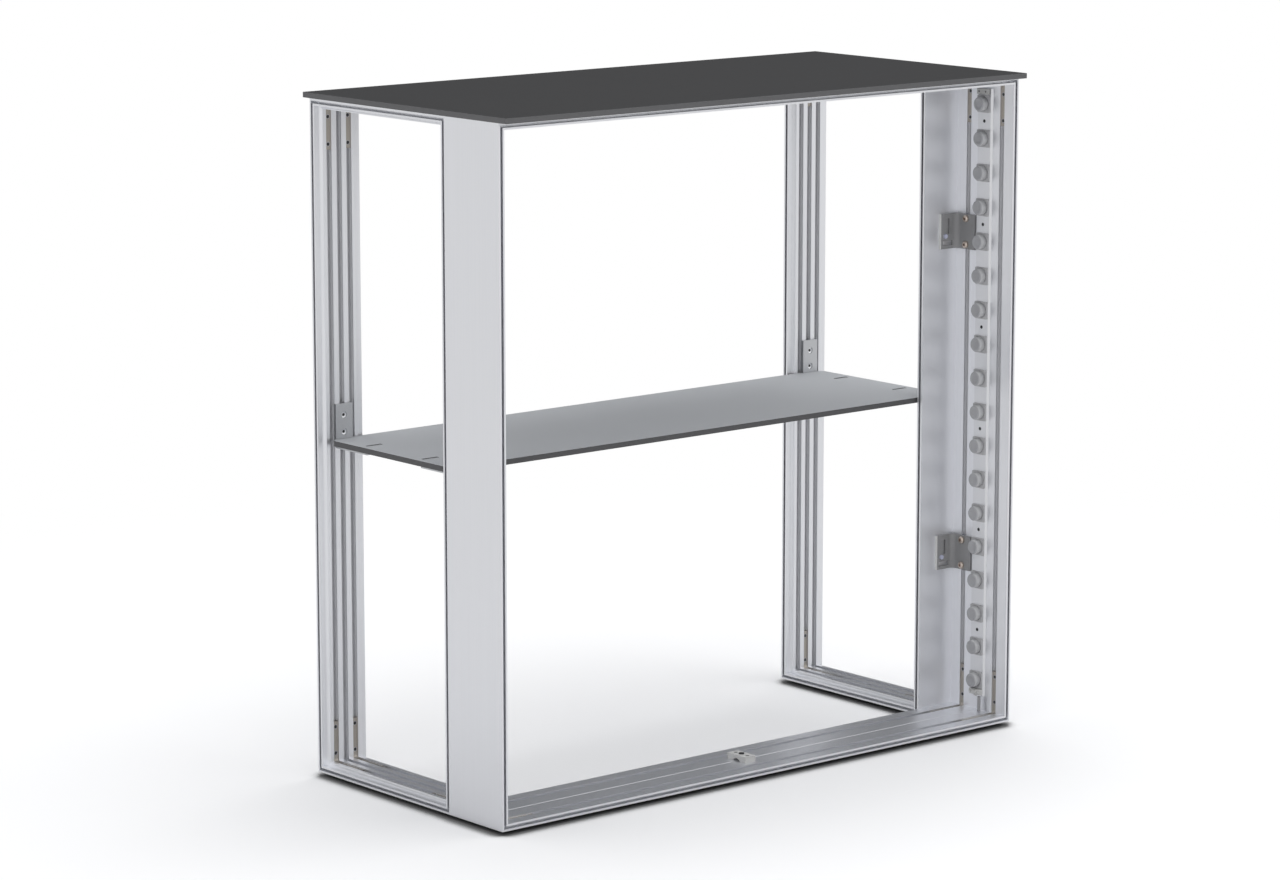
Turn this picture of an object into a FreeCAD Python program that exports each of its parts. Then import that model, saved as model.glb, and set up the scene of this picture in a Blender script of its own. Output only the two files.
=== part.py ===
import FreeCAD, Part
import math
import os
import re
import Sketcher

# Illuminated exhibition counter: a light box of four mitred extrusions stands in
# front, two narrow double-sided frames stand behind it as the ends, a thin board
# lies on top and a shelf hangs between the ends. The fabric faces are off.
# X runs along the counter, -Y is the front, Z is up, the floor is at zero.

# Driving sizes in millimetres
SIZES = {
    # whole counter
    "frame_length": 1000,
    "frame_height": 1000,
    "light_depth": 120,
    "side_depth": 320,
    "side_width": 80,
    "cut_overrun": 5,
    "hole_slack": 1,
    # edge of every extrusion, with the groove that takes the fabric's sewn strip
    "lip_height": 3,
    "groove_height": 4,
    "groove_depth": 13,
    "wall_height": 3,
    "skin": 2,
    "rib": 3,
    # T-slot
    "slot_opening": 9,
    "slot_lip": 2,
    "slot_width": 13,
    "slot_depth": 5,
    "light_slot_offset": 35.5,
    "side_slot_pitch": 17.7,
    "scribe_width": 1.6,
    "scribe_depth": 0.8,
    # raised middle of the end-frame extrusion
    "land_height": 5,
    "ledge_width": 6,
    "cove_width": 6,
    "cove_radius": 6.2,
    "centre_web": 10,
    # corner connectors and their grub screws
    "connector_arm": 75,
    "connector_width": 12.4,
    "connector_thickness": 4.6,
    "connector_bend": 6,
    "connector_bend_width": 8.4,
    "grub_near": 27,
    "grub_far": 67,
    "grub_diameter": 6,
    "thread_clearance": 0.2,
    # counter board and its screws
    "board_thickness": 8,
    "board_overhang": 17,
    "board_screw_inset": 100,
    "board_screw_bite": 6,
    "board_screw_diameter": 4,
    "board_screw_head": 8,
    "board_screw_head_height": 2.6,
    # floor glides
    "glide_height": 6,
    "glide_diameter": 34,
    "glide_inset": 70,
    # angle that ties an end frame to the light box
    "bracket_height": 54,
    "bracket_thickness": 4,
    "bracket_bend": 12,
    "bracket_front_leg": 43,
    "bracket_side_leg": 37,
    "bracket_from_bottom": 254,
    "bracket_from_top": 243,
    "bracket_screw_spacing": 40,
    "bracket_screw_diameter": 5,
    "bracket_screw_head": 11,
    "bracket_screw_head_height": 4,
    "bracket_slot_length": 24,
    "bracket_slot_width": 4,
    "bracket_slot_reach": 21,
    "bracket_slot_rise": 8,
    "bracket_window_length": 21,
    "bracket_window_height": 7,
    "bracket_window_reach": 22.5,
    "bracket_window_drop": 18.3,
    "wall_screw_reach": 28.5,
    "wall_screw_drop": 7.3,
    "wall_screw_diameter": 4,
    "wall_screw_head": 6.5,
    "wall_screw_head_height": 2.4,
    "wall_screw_bite": 6,
    # T-nuts
    "nut_width": 12.4,
    "nut_thickness": 4.2,
    "nut_length": 15,
    # LED strip
    "bar_width": 32,
    "bar_face_width": 27,
    "bar_height": 3,
    "bar_bottom_gap": 33,
    "bar_top_gap": 20,
    "led_bottom_margin": 25,
    "led_top_margin": 23.5,
    "led_base": 26.5,
    "led_base_height": 2.5,
    "lens_diameter": 22.5,
    "lens_height": 11,
    "lens_round": 2.5,
    "bar_screw_diameter": 3,
    "bar_screw_head": 5,
    "bar_screw_head_height": 1.4,
    "bar_screw_bite": 6,
    "end_clip_width": 25,
    "end_clip_height": 9,
    "end_clip_thickness": 5,
    "plug_width": 24,
    "plug_height": 11,
    "plug_thickness": 9,
    "plug_offset": 2,
    "lead_diameter": 5,
    "lead_offset": 11,
    "lead_hole_clearance": 0.4,
    # shelf
    "shelf_level": 500,
    "shelf_thickness": 8,
    "shelf_end_inset": 15.5,
    "shelf_gap": 0.5,
    "shelf_corner_cut": 12,
    # shelf supports
    "support_width": 30,
    "support_thickness": 5,
    "support_upstand": 52,
    "support_leg": 80,
    "support_bend": 7,
    "support_seat_gap": 0.25,
    "support_tab_width": 26,
    "support_tab_sink": 0.5,
    "tab_clearance": 0.6,
    "support_screw_low": 10,
    "support_screw_spacing": 25,
    "support_screw_diameter": 5,
    "support_screw_head": 9,
    "support_screw_head_height": 1.8,
    "support_screw_sink": 3.2,
    # bridge clip on the bottom rail
    "clip_depth": 40,
    "clip_length": 20,
    "clip_height": 9,
    "clip_arch_width": 16,
    "clip_arch_height": 4,
    "clip_hole_spacing": 26,
    "clip_hole_head": 6.4,
    "clip_hole_sink": 2.4,
    "clip_screw_diameter": 3,
    "clip_screw_head": 6,
    "clip_screw_head_height": 1.6,
    "clip_screw_bite": 5,
    "clip_centre_screw": 8,
    "clip_centre_screw_height": 1.5,
    "screw_clearance": 0.2,
}

# Counts
LEDS_PER_STRIP = 18
LEDS_PER_SCREW = 3
SCREWS_PER_STRIP = LEDS_PER_STRIP // LEDS_PER_SCREW

# Flat sides of small round forms, few where many repeat
GRUB_SIDES = 6
SMALL_SCREW_SIDES = 6
SCREW_SIDES = 8
LENS_SIDES = 8
GLIDE_SIDES = 16

# Sizes that follow from the driving ones
RAIL_RISE = "(lip_height + groove_height + wall_height)"
LAND_RISE = f"({RAIL_RISE} + land_height)"
SIDE_MID_X = "((frame_length - side_width) / 2)"
LIGHT_INNER_X = f"(frame_length / 2 - {RAIL_RISE})"
LIGHT_MID_Y = "(-side_depth / 2)"
SIDE_MID_Y = "(light_depth / 2)"
SEAM_Y = "((light_depth - side_depth) / 2)"
FRAME_TOP = "(glide_height + frame_height)"
FRAME_MID_Z = "(glide_height + frame_height / 2)"
BAR_LENGTH = "(frame_height - bar_bottom_gap - bar_top_gap)"
LED_PITCH = f"(({BAR_LENGTH} - led_bottom_margin - led_top_margin) / {LEDS_PER_STRIP - 1})"
LED_LOW_Z = "(glide_height + bar_bottom_gap + led_bottom_margin)"
SHELF_BOTTOM = "(glide_height + shelf_level - shelf_thickness)"
SHELF_HALF_LENGTH = "(frame_length / 2 - shelf_end_inset)"
SHELF_HALF_DEPTH = f"(side_depth / 2 - {LAND_RISE} - shelf_gap)"
SUPPORT_SEAT = f"(side_depth / 2 - {LAND_RISE} - support_seat_gap)"
BRACKET_LOW = "(glide_height + bracket_from_bottom)"
BRACKET_HIGH = f"({FRAME_TOP} - bracket_from_top)"
CLIP_Z = f"(glide_height + {RAIL_RISE})"

UPRIGHT = FreeCAD.Vector(0, 0, 1)
QUARTER_TURN = 90
HALF_TURN = 180

doc = FreeCAD.newDocument("illuminated_counter")
dims = doc.addObject("Spreadsheet::Sheet", "dims")
for row, (alias, size) in enumerate(SIZES.items(), start=1):
    dims.set(f"A{row}", alias)
    dims.set(f"B{row}", str(size))
    dims.setAlias(f"B{row}", alias)
doc.recompute()

pieces = []


# Expressions and placing
def bound(expression):
    """The expression with each size's name pointing into the sheet."""
    return re.sub(r"[a-z][a-z_]*", lambda name: "dims." + name.group(0), expression)


def value(expression):
    """The expression's number with the sheet as it stands."""
    return float(dims.evalExpression(bound(expression)))


def new_body(label, x="0", y="0", z="0", turn=None):
    """An empty body at a place in the counter, turned about an axis if asked."""
    body = doc.addObject("PartDesign::Body", label)
    body.Label = label
    if turn:
        axis, angle = turn
        body.Placement = FreeCAD.Placement(FreeCAD.Vector(), FreeCAD.Rotation(axis, angle))
    for letter, expression in zip("xyz", (x, y, z)):
        if expression != "0":
            body.setExpression(f"Placement.Base.{letter}", bound(expression))
    pieces.append(body)
    return body


def origin_feature(body, role):
    return next(feature for feature in body.Origin.OriginFeatures if feature.Role == role)


# Sketches
def new_sketch(body, plane, level="0"):
    """A sketch on one of the body's origin planes, moved along its axis to a level."""
    sketch = body.newObject("Sketcher::SketchObject", f"{body.Name}_sketch")
    sketch.AttachmentSupport = (origin_feature(body, plane), [""])
    sketch.MapMode = "FlatFace"
    if level != "0":
        along_normal = f"-({level})" if plane == "XZ_Plane" else level
        sketch.setExpression("AttachmentOffset.Base.z", bound(along_normal))
    return sketch


def pin(sketch, geometry, point, x, y):
    """Hold a point of a sketch at two expressions."""
    for kind, expression, axis in (("DistanceX", x, -2), ("DistanceY", y, -1)):
        if expression == "0":
            sketch.addConstraint(Sketcher.Constraint("PointOnObject", geometry, point, axis))
            continue
        rule = Sketcher.Constraint(kind, geometry, point, value(expression))
        index = sketch.addConstraint(rule)
        sketch.setExpression(f"Constraints[{index}]", bound(expression))


def arc_between(start, end, radius, centre_on_left):
    """The minor arc from start to end; a sketch keeps it counter-clockwise."""
    chord = end.sub(start)
    left = FreeCAD.Vector(-chord.y, chord.x, 0).normalize()
    rise = math.sqrt(max(radius * radius - chord.Length * chord.Length / 4, 0))
    centre = start.add(end).multiply(0.5).add(left.multiply(rise if centre_on_left else -rise))
    first, last = (start, end) if centre_on_left else (end, start)
    angles = [math.atan2(spot.y - centre.y, spot.x - centre.x) for spot in (first, last)]
    return Part.ArcOfCircle(Part.Circle(centre, UPRIGHT, radius), *angles)


def outline(sketch, corners):
    """A closed outline; a corner with a radius and a side starts an arc to the next."""
    spots = [FreeCAD.Vector(value(corner[0]), value(corner[1]), 0) for corner in corners]
    ends = []
    for index, corner in enumerate(corners):
        start = spots[index]
        end = spots[(index + 1) % len(spots)]
        if len(corner) == 2:
            geometry = sketch.addGeometry(Part.LineSegment(start, end), False)
            ends.append((geometry, 1, 2))
            continue
        radius, side = corner[2:]
        on_left = side == "left"
        arc = arc_between(start, end, value(radius), on_left)
        geometry = sketch.addGeometry(arc, False)
        ends.append((geometry, 1, 2) if on_left else (geometry, 2, 1))
    for index, (geometry, head, tail) in enumerate(ends):
        next_geometry, next_head, _ = ends[(index + 1) % len(ends)]
        joint = Sketcher.Constraint("Coincident", geometry, tail, next_geometry, next_head)
        sketch.addConstraint(joint)
        pin(sketch, geometry, head, *corners[index][:2])
    for (geometry, _, _), corner in zip(ends, corners):
        if len(corner) > 2:
            rule = Sketcher.Constraint("Radius", geometry, value(corner[2]))
            index = sketch.addConstraint(rule)
            sketch.setExpression(f"Constraints[{index}]", bound(corner[2]))


def rectangle(sketch, x_low, x_high, y_low, y_high):
    outline(sketch, [(x_low, y_low), (x_high, y_low), (x_high, y_high), (x_low, y_high)])


def ring(sketch, x, y, diameter, sides):
    """A round outline of flat sides, as wide across the flats as the round."""
    corners = []
    half_step_share = 0.5
    corner_share = 1 / (2 * math.cos(math.pi / sides))
    for index in range(sides):
        angle = math.tau * (index + half_step_share) / sides
        across = f"({corner_share * math.cos(angle):.6f}) * ({diameter})"
        along = f"({corner_share * math.sin(angle):.6f}) * ({diameter})"
        corners.append((f"{x} + {across}", f"{y} + {along}"))
    outline(sketch, corners)


# Features
def pad(body, sketch, length, both_ways=False, downward=False):
    """Extrude along the plane's axis, up it, down it or half each way."""
    feature = body.newObject("PartDesign::Pad", f"{sketch.Name}_pad")
    feature.Profile = sketch
    feature.setExpression("Length", bound(length))
    if both_ways:
        feature.SideType = "Symmetric"
    normal_is_up = sketch.AttachmentSupport[0][0].Role != "XZ_Plane"
    feature.Reversed = downward == normal_is_up
    body.Tip = feature


def pocket(body, sketch, depth=None, upward=False):
    """Cut right through, or to a depth down or up the plane's axis."""
    feature = body.newObject("PartDesign::Pocket", f"{sketch.Name}_pocket")
    feature.Profile = sketch
    if depth is None:
        feature.SideType = "Symmetric"
        feature.Type = "ThroughAll"
    else:
        feature.setExpression("Length", bound(depth))
        normal_is_up = sketch.AttachmentSupport[0][0].Role != "XZ_Plane"
        feature.Reversed = upward == normal_is_up
    body.Tip = feature


def loft(body, first, last):
    """A straight-sided form from one outline to another."""
    feature = body.newObject("PartDesign::AdditiveLoft", f"{first.Name}_loft")
    feature.Profile = first
    feature.Sections = [last]
    feature.Ruled = True
    body.Tip = feature


def mirror(body, *planes):
    """Mirror all that the body holds in each plane in turn."""
    for plane in planes:
        doc.recompute()
        feature = body.newObject("PartDesign::Mirrored", f"{body.Name}_mirror")
        feature.TransformMode = "Whole shape"
        feature.MirrorPlane = (origin_feature(body, plane), [""])
        body.Tip = feature


def repeat(body, axis, spacing, count):
    """A row of copies of all that the body holds."""
    doc.recompute()
    feature = body.newObject("PartDesign::LinearPattern", f"{body.Name}_row")
    feature.TransformMode = "Whole shape"
    feature.Direction = (origin_feature(body, axis), [""])
    feature.Mode = "Spacing"
    feature.setExpression("Offset", bound(spacing))
    feature.Occurrences = count
    body.Tip = feature


def drill(body, plane, level, depth, diameter, spots, upward=False, sides=SMALL_SCREW_SIDES):
    """Round holes from a level of the plane's axis to a depth."""
    sketch = new_sketch(body, plane, level)
    for x, y in spots:
        ring(sketch, x, y, diameter, sides)
    pocket(body, sketch, depth, upward)


# Extrusions
def tee_slot(centre, face):
    """Corners of a T-slot in a face, from its outer side to its inner side."""
    floor = f"{face} - slot_lip - slot_depth"
    neck = f"{face} - slot_lip"
    return [
        (f"{centre} + slot_opening / 2", face),
        (f"{centre} + slot_opening / 2", neck),
        (f"{centre} + slot_width / 2", neck),
        (f"{centre} + slot_width / 2", floor),
        (f"{centre} - slot_width / 2", floor),
        (f"{centre} - slot_width / 2", neck),
        (f"{centre} - slot_opening / 2", neck),
        (f"{centre} - slot_opening / 2", face),
    ]


def fabric_edge(half):
    """Corners from the middle of the outer face round the fabric groove."""
    return [
        ("0", "0"),
        (half, "0"),
        (half, "lip_height"),
        (f"{half} - groove_depth", "lip_height"),
        (f"{half} - groove_depth", "lip_height + groove_height"),
        (half, "lip_height + groove_height"),
        (half, RAIL_RISE),
    ]


def light_section(sketch):
    """Half of the light box's section: flat inside, two T-slots, a scribed middle."""
    corners = fabric_edge("light_depth / 2")
    corners += tee_slot("light_slot_offset", RAIL_RISE)
    corners += [("scribe_width / 2", RAIL_RISE), ("0", f"{RAIL_RISE} - scribe_depth")]
    outline(sketch, corners)
    chamber_end = "light_slot_offset - slot_width / 2 - rib"
    rectangle(sketch, "centre_web / 2", chamber_end, "skin", f"{RAIL_RISE} - skin")


def side_section(sketch):
    """Half of an end frame's section: a raised middle with three T-slots."""
    half = "side_width / 2"
    corners = fabric_edge(half)
    corners.append((f"{half} - ledge_width", RAIL_RISE, "cove_radius", "right"))
    corners.append((f"{half} - ledge_width - cove_width", LAND_RISE))
    corners += tee_slot("side_slot_pitch", LAND_RISE)
    floor = f"{LAND_RISE} - slot_lip - slot_depth"
    neck = f"{LAND_RISE} - slot_lip"
    corners += [
        ("slot_opening / 2", LAND_RISE),
        ("slot_opening / 2", neck),
        ("slot_width / 2", neck),
        ("slot_width / 2", floor),
        ("0", floor),
    ]
    outline(sketch, corners)
    chamber_end = f"{half} - groove_depth - rib"
    rectangle(sketch, "centre_web / 2", chamber_end, "skin", f"{floor} - skin")


def rail(body, section, rise, length):
    """A mitred length of extrusion: width on X, outer face at Y zero, length up Z."""
    sketch = new_sketch(body, "XY_Plane")
    section(sketch)
    pad(body, sketch, length)
    mirror(body, "YZ_Plane")
    mitre = new_sketch(body, "YZ_Plane")
    reach = f"{rise} + cut_overrun"
    outline(mitre, [
        ("-cut_overrun", "-cut_overrun"),
        (reach, "-cut_overrun"),
        (reach, reach),
    ])
    outline(mitre, [
        ("-cut_overrun", f"{length} + cut_overrun"),
        (reach, f"{length} - ({reach})"),
        (reach, f"{length} + cut_overrun"),
    ])
    pocket(body, mitre)


def rail_turn(across, rise):
    """The turn that sends a rail's width along one axis and its inside along another."""
    along = across.cross(rise)
    rotation = FreeCAD.Rotation(across, rise, along, "XYZ")
    return rotation.Axis, math.degrees(rotation.Angle)


def light_frame():
    """The light box: bottom, top and two uprights, 120 deep, mitred."""
    across = FreeCAD.Vector(0, 1, 0)
    left = "-frame_length / 2"
    right = "frame_length / 2"
    bottom = "glide_height"
    sides = (
        ("bottom_rail", "frame_length", left, bottom, FreeCAD.Vector(0, 0, 1)),
        ("top_rail", "frame_length", right, FRAME_TOP, FreeCAD.Vector(0, 0, -1)),
        ("left_upright", "frame_height", left, FRAME_TOP, FreeCAD.Vector(1, 0, 0)),
        ("right_upright", "frame_height", right, bottom, FreeCAD.Vector(-1, 0, 0)),
    )
    rails = {}
    for name, length, x, z, rise in sides:
        turn = rail_turn(across, rise)
        body = new_body(f"light_box_{name}", x, LIGHT_MID_Y, z, turn)
        rail(body, light_section, RAIL_RISE, length)
        rails[name] = body
    led_screw_holes(rails["left_upright"], from_top=True)
    led_screw_holes(rails["right_upright"], from_top=False)
    bottom_rail_holes(rails["bottom_rail"])


def led_screw_spots(from_top):
    """Distances of the LED bar's screws along an upright from the end it starts at."""
    first = f"bar_bottom_gap + led_bottom_margin + {LED_PITCH} / 2"
    step = f"{LEDS_PER_SCREW} * {LED_PITCH}"
    low = [f"{first} + {LED_PITCH} + {index} * {step}" for index in range(SCREWS_PER_STRIP)]
    return [f"frame_height - ({spot})" for spot in low] if from_top else low


def led_screw_holes(body, from_top):
    spots = [("0", spot) for spot in led_screw_spots(from_top)]
    diameter = "bar_screw_diameter + screw_clearance"
    drill(body, "XZ_Plane", RAIL_RISE, "bar_screw_bite + hole_slack", diameter, spots)


def bottom_rail_holes(body):
    """Holes for the LED leads and for the bridge clip's two screws."""
    lead_spot = f"{RAIL_RISE} + bar_height + plug_thickness / 2"
    lead_hole = "lead_diameter + lead_hole_clearance"
    ends = [("lead_offset", lead_spot), ("-lead_offset", f"frame_length - ({lead_spot})")]
    drill(body, "XZ_Plane", RAIL_RISE, f"{RAIL_RISE} - skin", lead_hole, ends, sides=SCREW_SIDES)
    middle = "frame_length / 2"
    clip = [("clip_hole_spacing / 2", middle), ("-clip_hole_spacing / 2", middle)]
    diameter = "clip_screw_diameter + screw_clearance"
    drill(body, "XZ_Plane", RAIL_RISE, f"{RAIL_RISE} - skin", diameter, clip, sides=SCREW_SIDES)


def side_frame(name, x):
    """An end frame: bottom, top, front and rear lengths, 80 wide, mitred."""
    across = FreeCAD.Vector(-1, 0, 0)
    front = SEAM_Y
    rear = f"({SEAM_Y} + side_depth)"
    bottom = "glide_height"
    sides = (
        ("bottom_rail", "side_depth", front, bottom, FreeCAD.Vector(0, 0, 1)),
        ("top_rail", "side_depth", rear, FRAME_TOP, FreeCAD.Vector(0, 0, -1)),
        ("front_upright", "frame_height", front, FRAME_TOP, FreeCAD.Vector(0, 1, 0)),
        ("rear_upright", "frame_height", rear, bottom, FreeCAD.Vector(0, -1, 0)),
    )
    rails = {}
    for part, length, y, z, rise in sides:
        turn = rail_turn(across, rise)
        body = new_body(f"{name}_end_{part}", x, y, z, turn)
        rail(body, side_section, LAND_RISE, length)
        rails[part] = body
    return rails


def wall_screw_holes(body, inward):
    """Tapped holes in an end frame's front wall for the angles' screws."""
    diameter = "wall_screw_diameter + screw_clearance"
    reach = f"{inward} * (wall_screw_reach + {RAIL_RISE} - side_width / 2)"
    high = f"{FRAME_TOP} - {BRACKET_HIGH} + {inward} * wall_screw_drop"
    low = f"{FRAME_TOP} - {BRACKET_LOW} + {inward} * wall_screw_drop"
    spots = [(reach, high), (reach, low)]
    drill(body, "XZ_Plane", "0", "wall_screw_bite + hole_slack", diameter, spots, upward=True)


def board_screw_holes(body):
    """Holes through an end frame's top length for the counter board's screws."""
    diameter = "board_screw_diameter + screw_clearance"
    floor = f"{LAND_RISE} - slot_lip - slot_depth"
    spots = [("0", "board_screw_inset"), ("0", "side_depth - board_screw_inset")]
    drill(body, "XZ_Plane", "0", floor, diameter, spots, upward=True)


# Counter board
def counter_board():
    body = new_body("counter_top_board", z=FRAME_TOP)
    sketch = new_sketch(body, "XY_Plane")
    depth = "(light_depth + side_depth + 2 * board_overhang) / 2"
    rectangle(sketch, "-frame_length / 2", "frame_length / 2", f"-{depth}", depth)
    pad(body, sketch, "board_thickness")
    diameter = "board_screw_diameter + screw_clearance"
    spots = [(x, y) for x in (SIDE_MID_X, f"-{SIDE_MID_X}") for y in board_screw_rows()]
    drill(body, "XY_Plane", "0", "board_screw_bite + screw_clearance", diameter, spots, upward=True)


def board_screw_rows():
    reach = "(side_depth / 2 - board_screw_inset)"
    return f"{SIDE_MID_Y} - {reach}", f"{SIDE_MID_Y} + {reach}"


def board_screws():
    """Screws up from the middle T-slots of the end frames' top lengths."""
    floor = f"({LAND_RISE} - slot_lip - slot_depth)"
    body = new_body("counter_top_screws", y=SIDE_MID_Y, z=FRAME_TOP)
    x = SIDE_MID_X
    y = "(side_depth / 2 - board_screw_inset)"
    head = new_sketch(body, "XY_Plane", f"-{floor}")
    ring(head, x, y, "board_screw_head", SMALL_SCREW_SIDES)
    pad(body, head, "board_screw_head_height", downward=True)
    shank = new_sketch(body, "XY_Plane", f"-{floor}")
    ring(shank, x, y, "board_screw_diameter", SMALL_SCREW_SIDES)
    pad(body, shank, f"{floor} + board_screw_bite")
    mirror(body, "YZ_Plane", "XZ_Plane")


# Corner connectors and grub screws
def connector_level(rise):
    """Distances of a connector's two faces from the frame's outer edge."""
    inner = f"({rise} - slot_lip)"
    return f"({inner} - connector_thickness)", inner


def corner_connectors(label, span, rise, slot, **place):
    """L-shaped bars in the T-slots at all four corners, in one slot or a pair."""
    body = new_body(label, z=FRAME_MID_Z, **place)
    outer, inner = connector_level(rise)
    x = f"-{span} / 2"
    z = "-frame_height / 2"
    bar = new_sketch(body, "XZ_Plane", slot)
    outline(bar, [
        (f"{x} + {outer}", f"{z} + {outer}"),
        (f"{x} + connector_arm", f"{z} + {outer}"),
        (f"{x} + connector_arm", f"{z} + {inner}"),
        (f"{x} + {inner}", f"{z} + {inner}"),
        (f"{x} + {inner}", f"{z} + connector_arm"),
        (f"{x} + {outer}", f"{z} + connector_arm"),
    ])
    pad(body, bar, "connector_width", both_ways=True)
    bend = new_sketch(body, "XZ_Plane", slot)
    outline(bend, [
        (f"{x} + {inner}", f"{z} + {inner}"),
        (f"{x} + {inner} + connector_bend", f"{z} + {inner}", "connector_bend", "right"),
        (f"{x} + {inner}", f"{z} + {inner} + connector_bend"),
    ])
    pad(body, bend, "connector_bend_width", both_ways=True)
    hole = "grub_diameter + thread_clearance"
    foot = new_sketch(body, "XY_Plane")
    post = new_sketch(body, "YZ_Plane")
    for spot in ("grub_near", "grub_far"):
        ring(foot, f"{x} + {spot}", slot, hole, GRUB_SIDES)
        ring(post, slot, f"{z} + {spot}", hole, GRUB_SIDES)
    pocket(body, foot)
    pocket(body, post)
    mirror(body, "YZ_Plane", "XY_Plane")
    if slot != "0":
        mirror(body, "XZ_Plane")


def grub_screws(label, span, rise, slot, **place):
    """Grub screws that press the connectors against the slots' lips."""
    body = new_body(label, z=FRAME_MID_Z, **place)
    _, inner = connector_level(rise)
    x = f"-{span} / 2"
    z = "-frame_height / 2"
    floor = f"({rise} - slot_lip - slot_depth)"
    foot = new_sketch(body, "XY_Plane", f"{z} + {floor}")
    post = new_sketch(body, "YZ_Plane", f"{x} + {floor}")
    for spot in ("grub_near", "grub_far"):
        ring(foot, f"{x} + {spot}", slot, "grub_diameter", GRUB_SIDES)
        ring(post, slot, f"{z} + {spot}", "grub_diameter", GRUB_SIDES)
    pad(body, foot, f"{inner} - {floor}")
    pad(body, post, f"{inner} - {floor}")
    mirror(body, "YZ_Plane", "XY_Plane")
    if slot != "0":
        mirror(body, "XZ_Plane")


# Angles between the light box and the end frames
def join_bracket(label, side, z):
    """A bent angle; the left one is the same piece turned over."""
    turn = None if side == "right" else (FreeCAD.Vector(0, 1, 0), HALF_TURN)
    x = LIGHT_INNER_X if side == "right" else f"-{LIGHT_INNER_X}"
    body = new_body(label, x, SEAM_Y, z, turn)
    section = new_sketch(body, "XY_Plane")
    bend_inside = "(bracket_bend - bracket_thickness)"
    outline(section, [
        ("0", "-bracket_front_leg"),
        ("0", "-bracket_bend", "bracket_bend", "left"),
        ("-bracket_bend", "0"),
        ("-bracket_side_leg", "0"),
        ("-bracket_side_leg", "-bracket_thickness"),
        ("-bracket_bend", "-bracket_thickness", bend_inside, "right"),
        ("-bracket_thickness", "-bracket_bend"),
        ("-bracket_thickness", "-bracket_front_leg"),
    ])
    pad(body, section, "bracket_height", both_ways=True)
    front = new_sketch(body, "YZ_Plane")
    hole = "bracket_screw_diameter + screw_clearance"
    for height in ("bracket_screw_spacing / 2", "-bracket_screw_spacing / 2"):
        ring(front, bracket_screw_y(), height, hole, SCREW_SIDES)
    pocket(body, front, "bracket_thickness + cut_overrun")
    wall = new_sketch(body, "XZ_Plane")
    upright_slot(wall, "-bracket_slot_reach", "bracket_slot_rise", "bracket_slot_width",
                 "bracket_slot_length")
    rectangle(wall, "-bracket_window_reach - bracket_window_length / 2",
              "-bracket_window_reach + bracket_window_length / 2",
              "-bracket_window_drop - bracket_window_height / 2",
              "-bracket_window_drop + bracket_window_height / 2")
    ring(wall, "-wall_screw_reach", "-wall_screw_drop", "wall_screw_diameter + screw_clearance",
         SMALL_SCREW_SIDES)
    pocket(body, wall, "bracket_thickness + cut_overrun")


def upright_slot(sketch, x, y, width, length):
    """A slot standing upright about a middle point, each end of three flats."""
    half = f"({length} - {width}) / 2"
    radius = f"{width} / 2"
    end_x_share = math.cos(math.pi / 3)
    end_y_share = math.sin(math.pi / 3)
    inner = f"({end_x_share:.6f}) * {radius}"
    reach = f"{half} + ({end_y_share:.6f}) * {radius}"
    outline(sketch, [
        (f"{x} - {radius}", f"{y} + {half}"),
        (f"{x} - {radius}", f"{y} - {half}"),
        (f"{x} - {inner}", f"{y} - ({reach})"),
        (f"{x} + {inner}", f"{y} - ({reach})"),
        (f"{x} + {radius}", f"{y} - {half}"),
        (f"{x} + {radius}", f"{y} + {half}"),
        (f"{x} + {inner}", f"{y} + {reach}"),
        (f"{x} - {inner}", f"{y} + {reach}"),
    ])


def bracket_screw_y():
    """The T-slot nearest to the seam, from the seam."""
    return "light_slot_offset - light_depth / 2"


def bracket_screws():
    """Round-headed screws that clamp the angles to the light box's rear T-slots."""
    body = new_body("join_bracket_slot_screws", x=LIGHT_INNER_X, y=SEAM_Y, z=BRACKET_LOW)
    y = bracket_screw_y()
    up = "bracket_screw_spacing / 2"
    head = new_sketch(body, "YZ_Plane", "-bracket_thickness")
    ring(head, y, up, "bracket_screw_head", SCREW_SIDES)
    pad(body, head, "bracket_screw_head_height", downward=True)
    shank = new_sketch(body, "YZ_Plane", "-bracket_thickness")
    ring(shank, y, up, "bracket_screw_diameter", SCREW_SIDES)
    pad(body, shank, "bracket_thickness + slot_lip + slot_depth - screw_clearance")
    mirror_to_all_brackets(body)


def bracket_nuts():
    """T-nuts in the light box's rear slots."""
    body = new_body("join_bracket_slot_nuts", x=LIGHT_INNER_X, y=SEAM_Y, z=BRACKET_LOW)
    y = bracket_screw_y()
    up = "bracket_screw_spacing / 2"
    block = new_sketch(body, "YZ_Plane", "slot_lip")
    rectangle(block, f"{y} - nut_width / 2", f"{y} + nut_width / 2",
              f"{up} - nut_length / 2", f"{up} + nut_length / 2")
    ring(block, y, up, "bracket_screw_diameter + screw_clearance", SCREW_SIDES)
    pad(body, block, "nut_thickness")
    mirror_to_all_brackets(body)


def mirror_to_all_brackets(body):
    """Two screws to an angle, two angles to an upright, then the other upright."""
    mirror(body, "XY_Plane")
    repeat(body, "Z_Axis", f"{BRACKET_HIGH} - {BRACKET_LOW}", 2)
    plane = body.newObject("PartDesign::Plane", f"{body.Name}_middle")
    plane.AttachmentSupport = (origin_feature(body, "YZ_Plane"), [""])
    plane.MapMode = "FlatFace"
    plane.setExpression("AttachmentOffset.Base.z", bound(f"-{LIGHT_INNER_X}"))
    doc.recompute()
    feature = body.newObject("PartDesign::Mirrored", f"{body.Name}_other_side")
    feature.TransformMode = "Whole shape"
    feature.MirrorPlane = (plane, [""])
    body.Tip = feature


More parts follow.
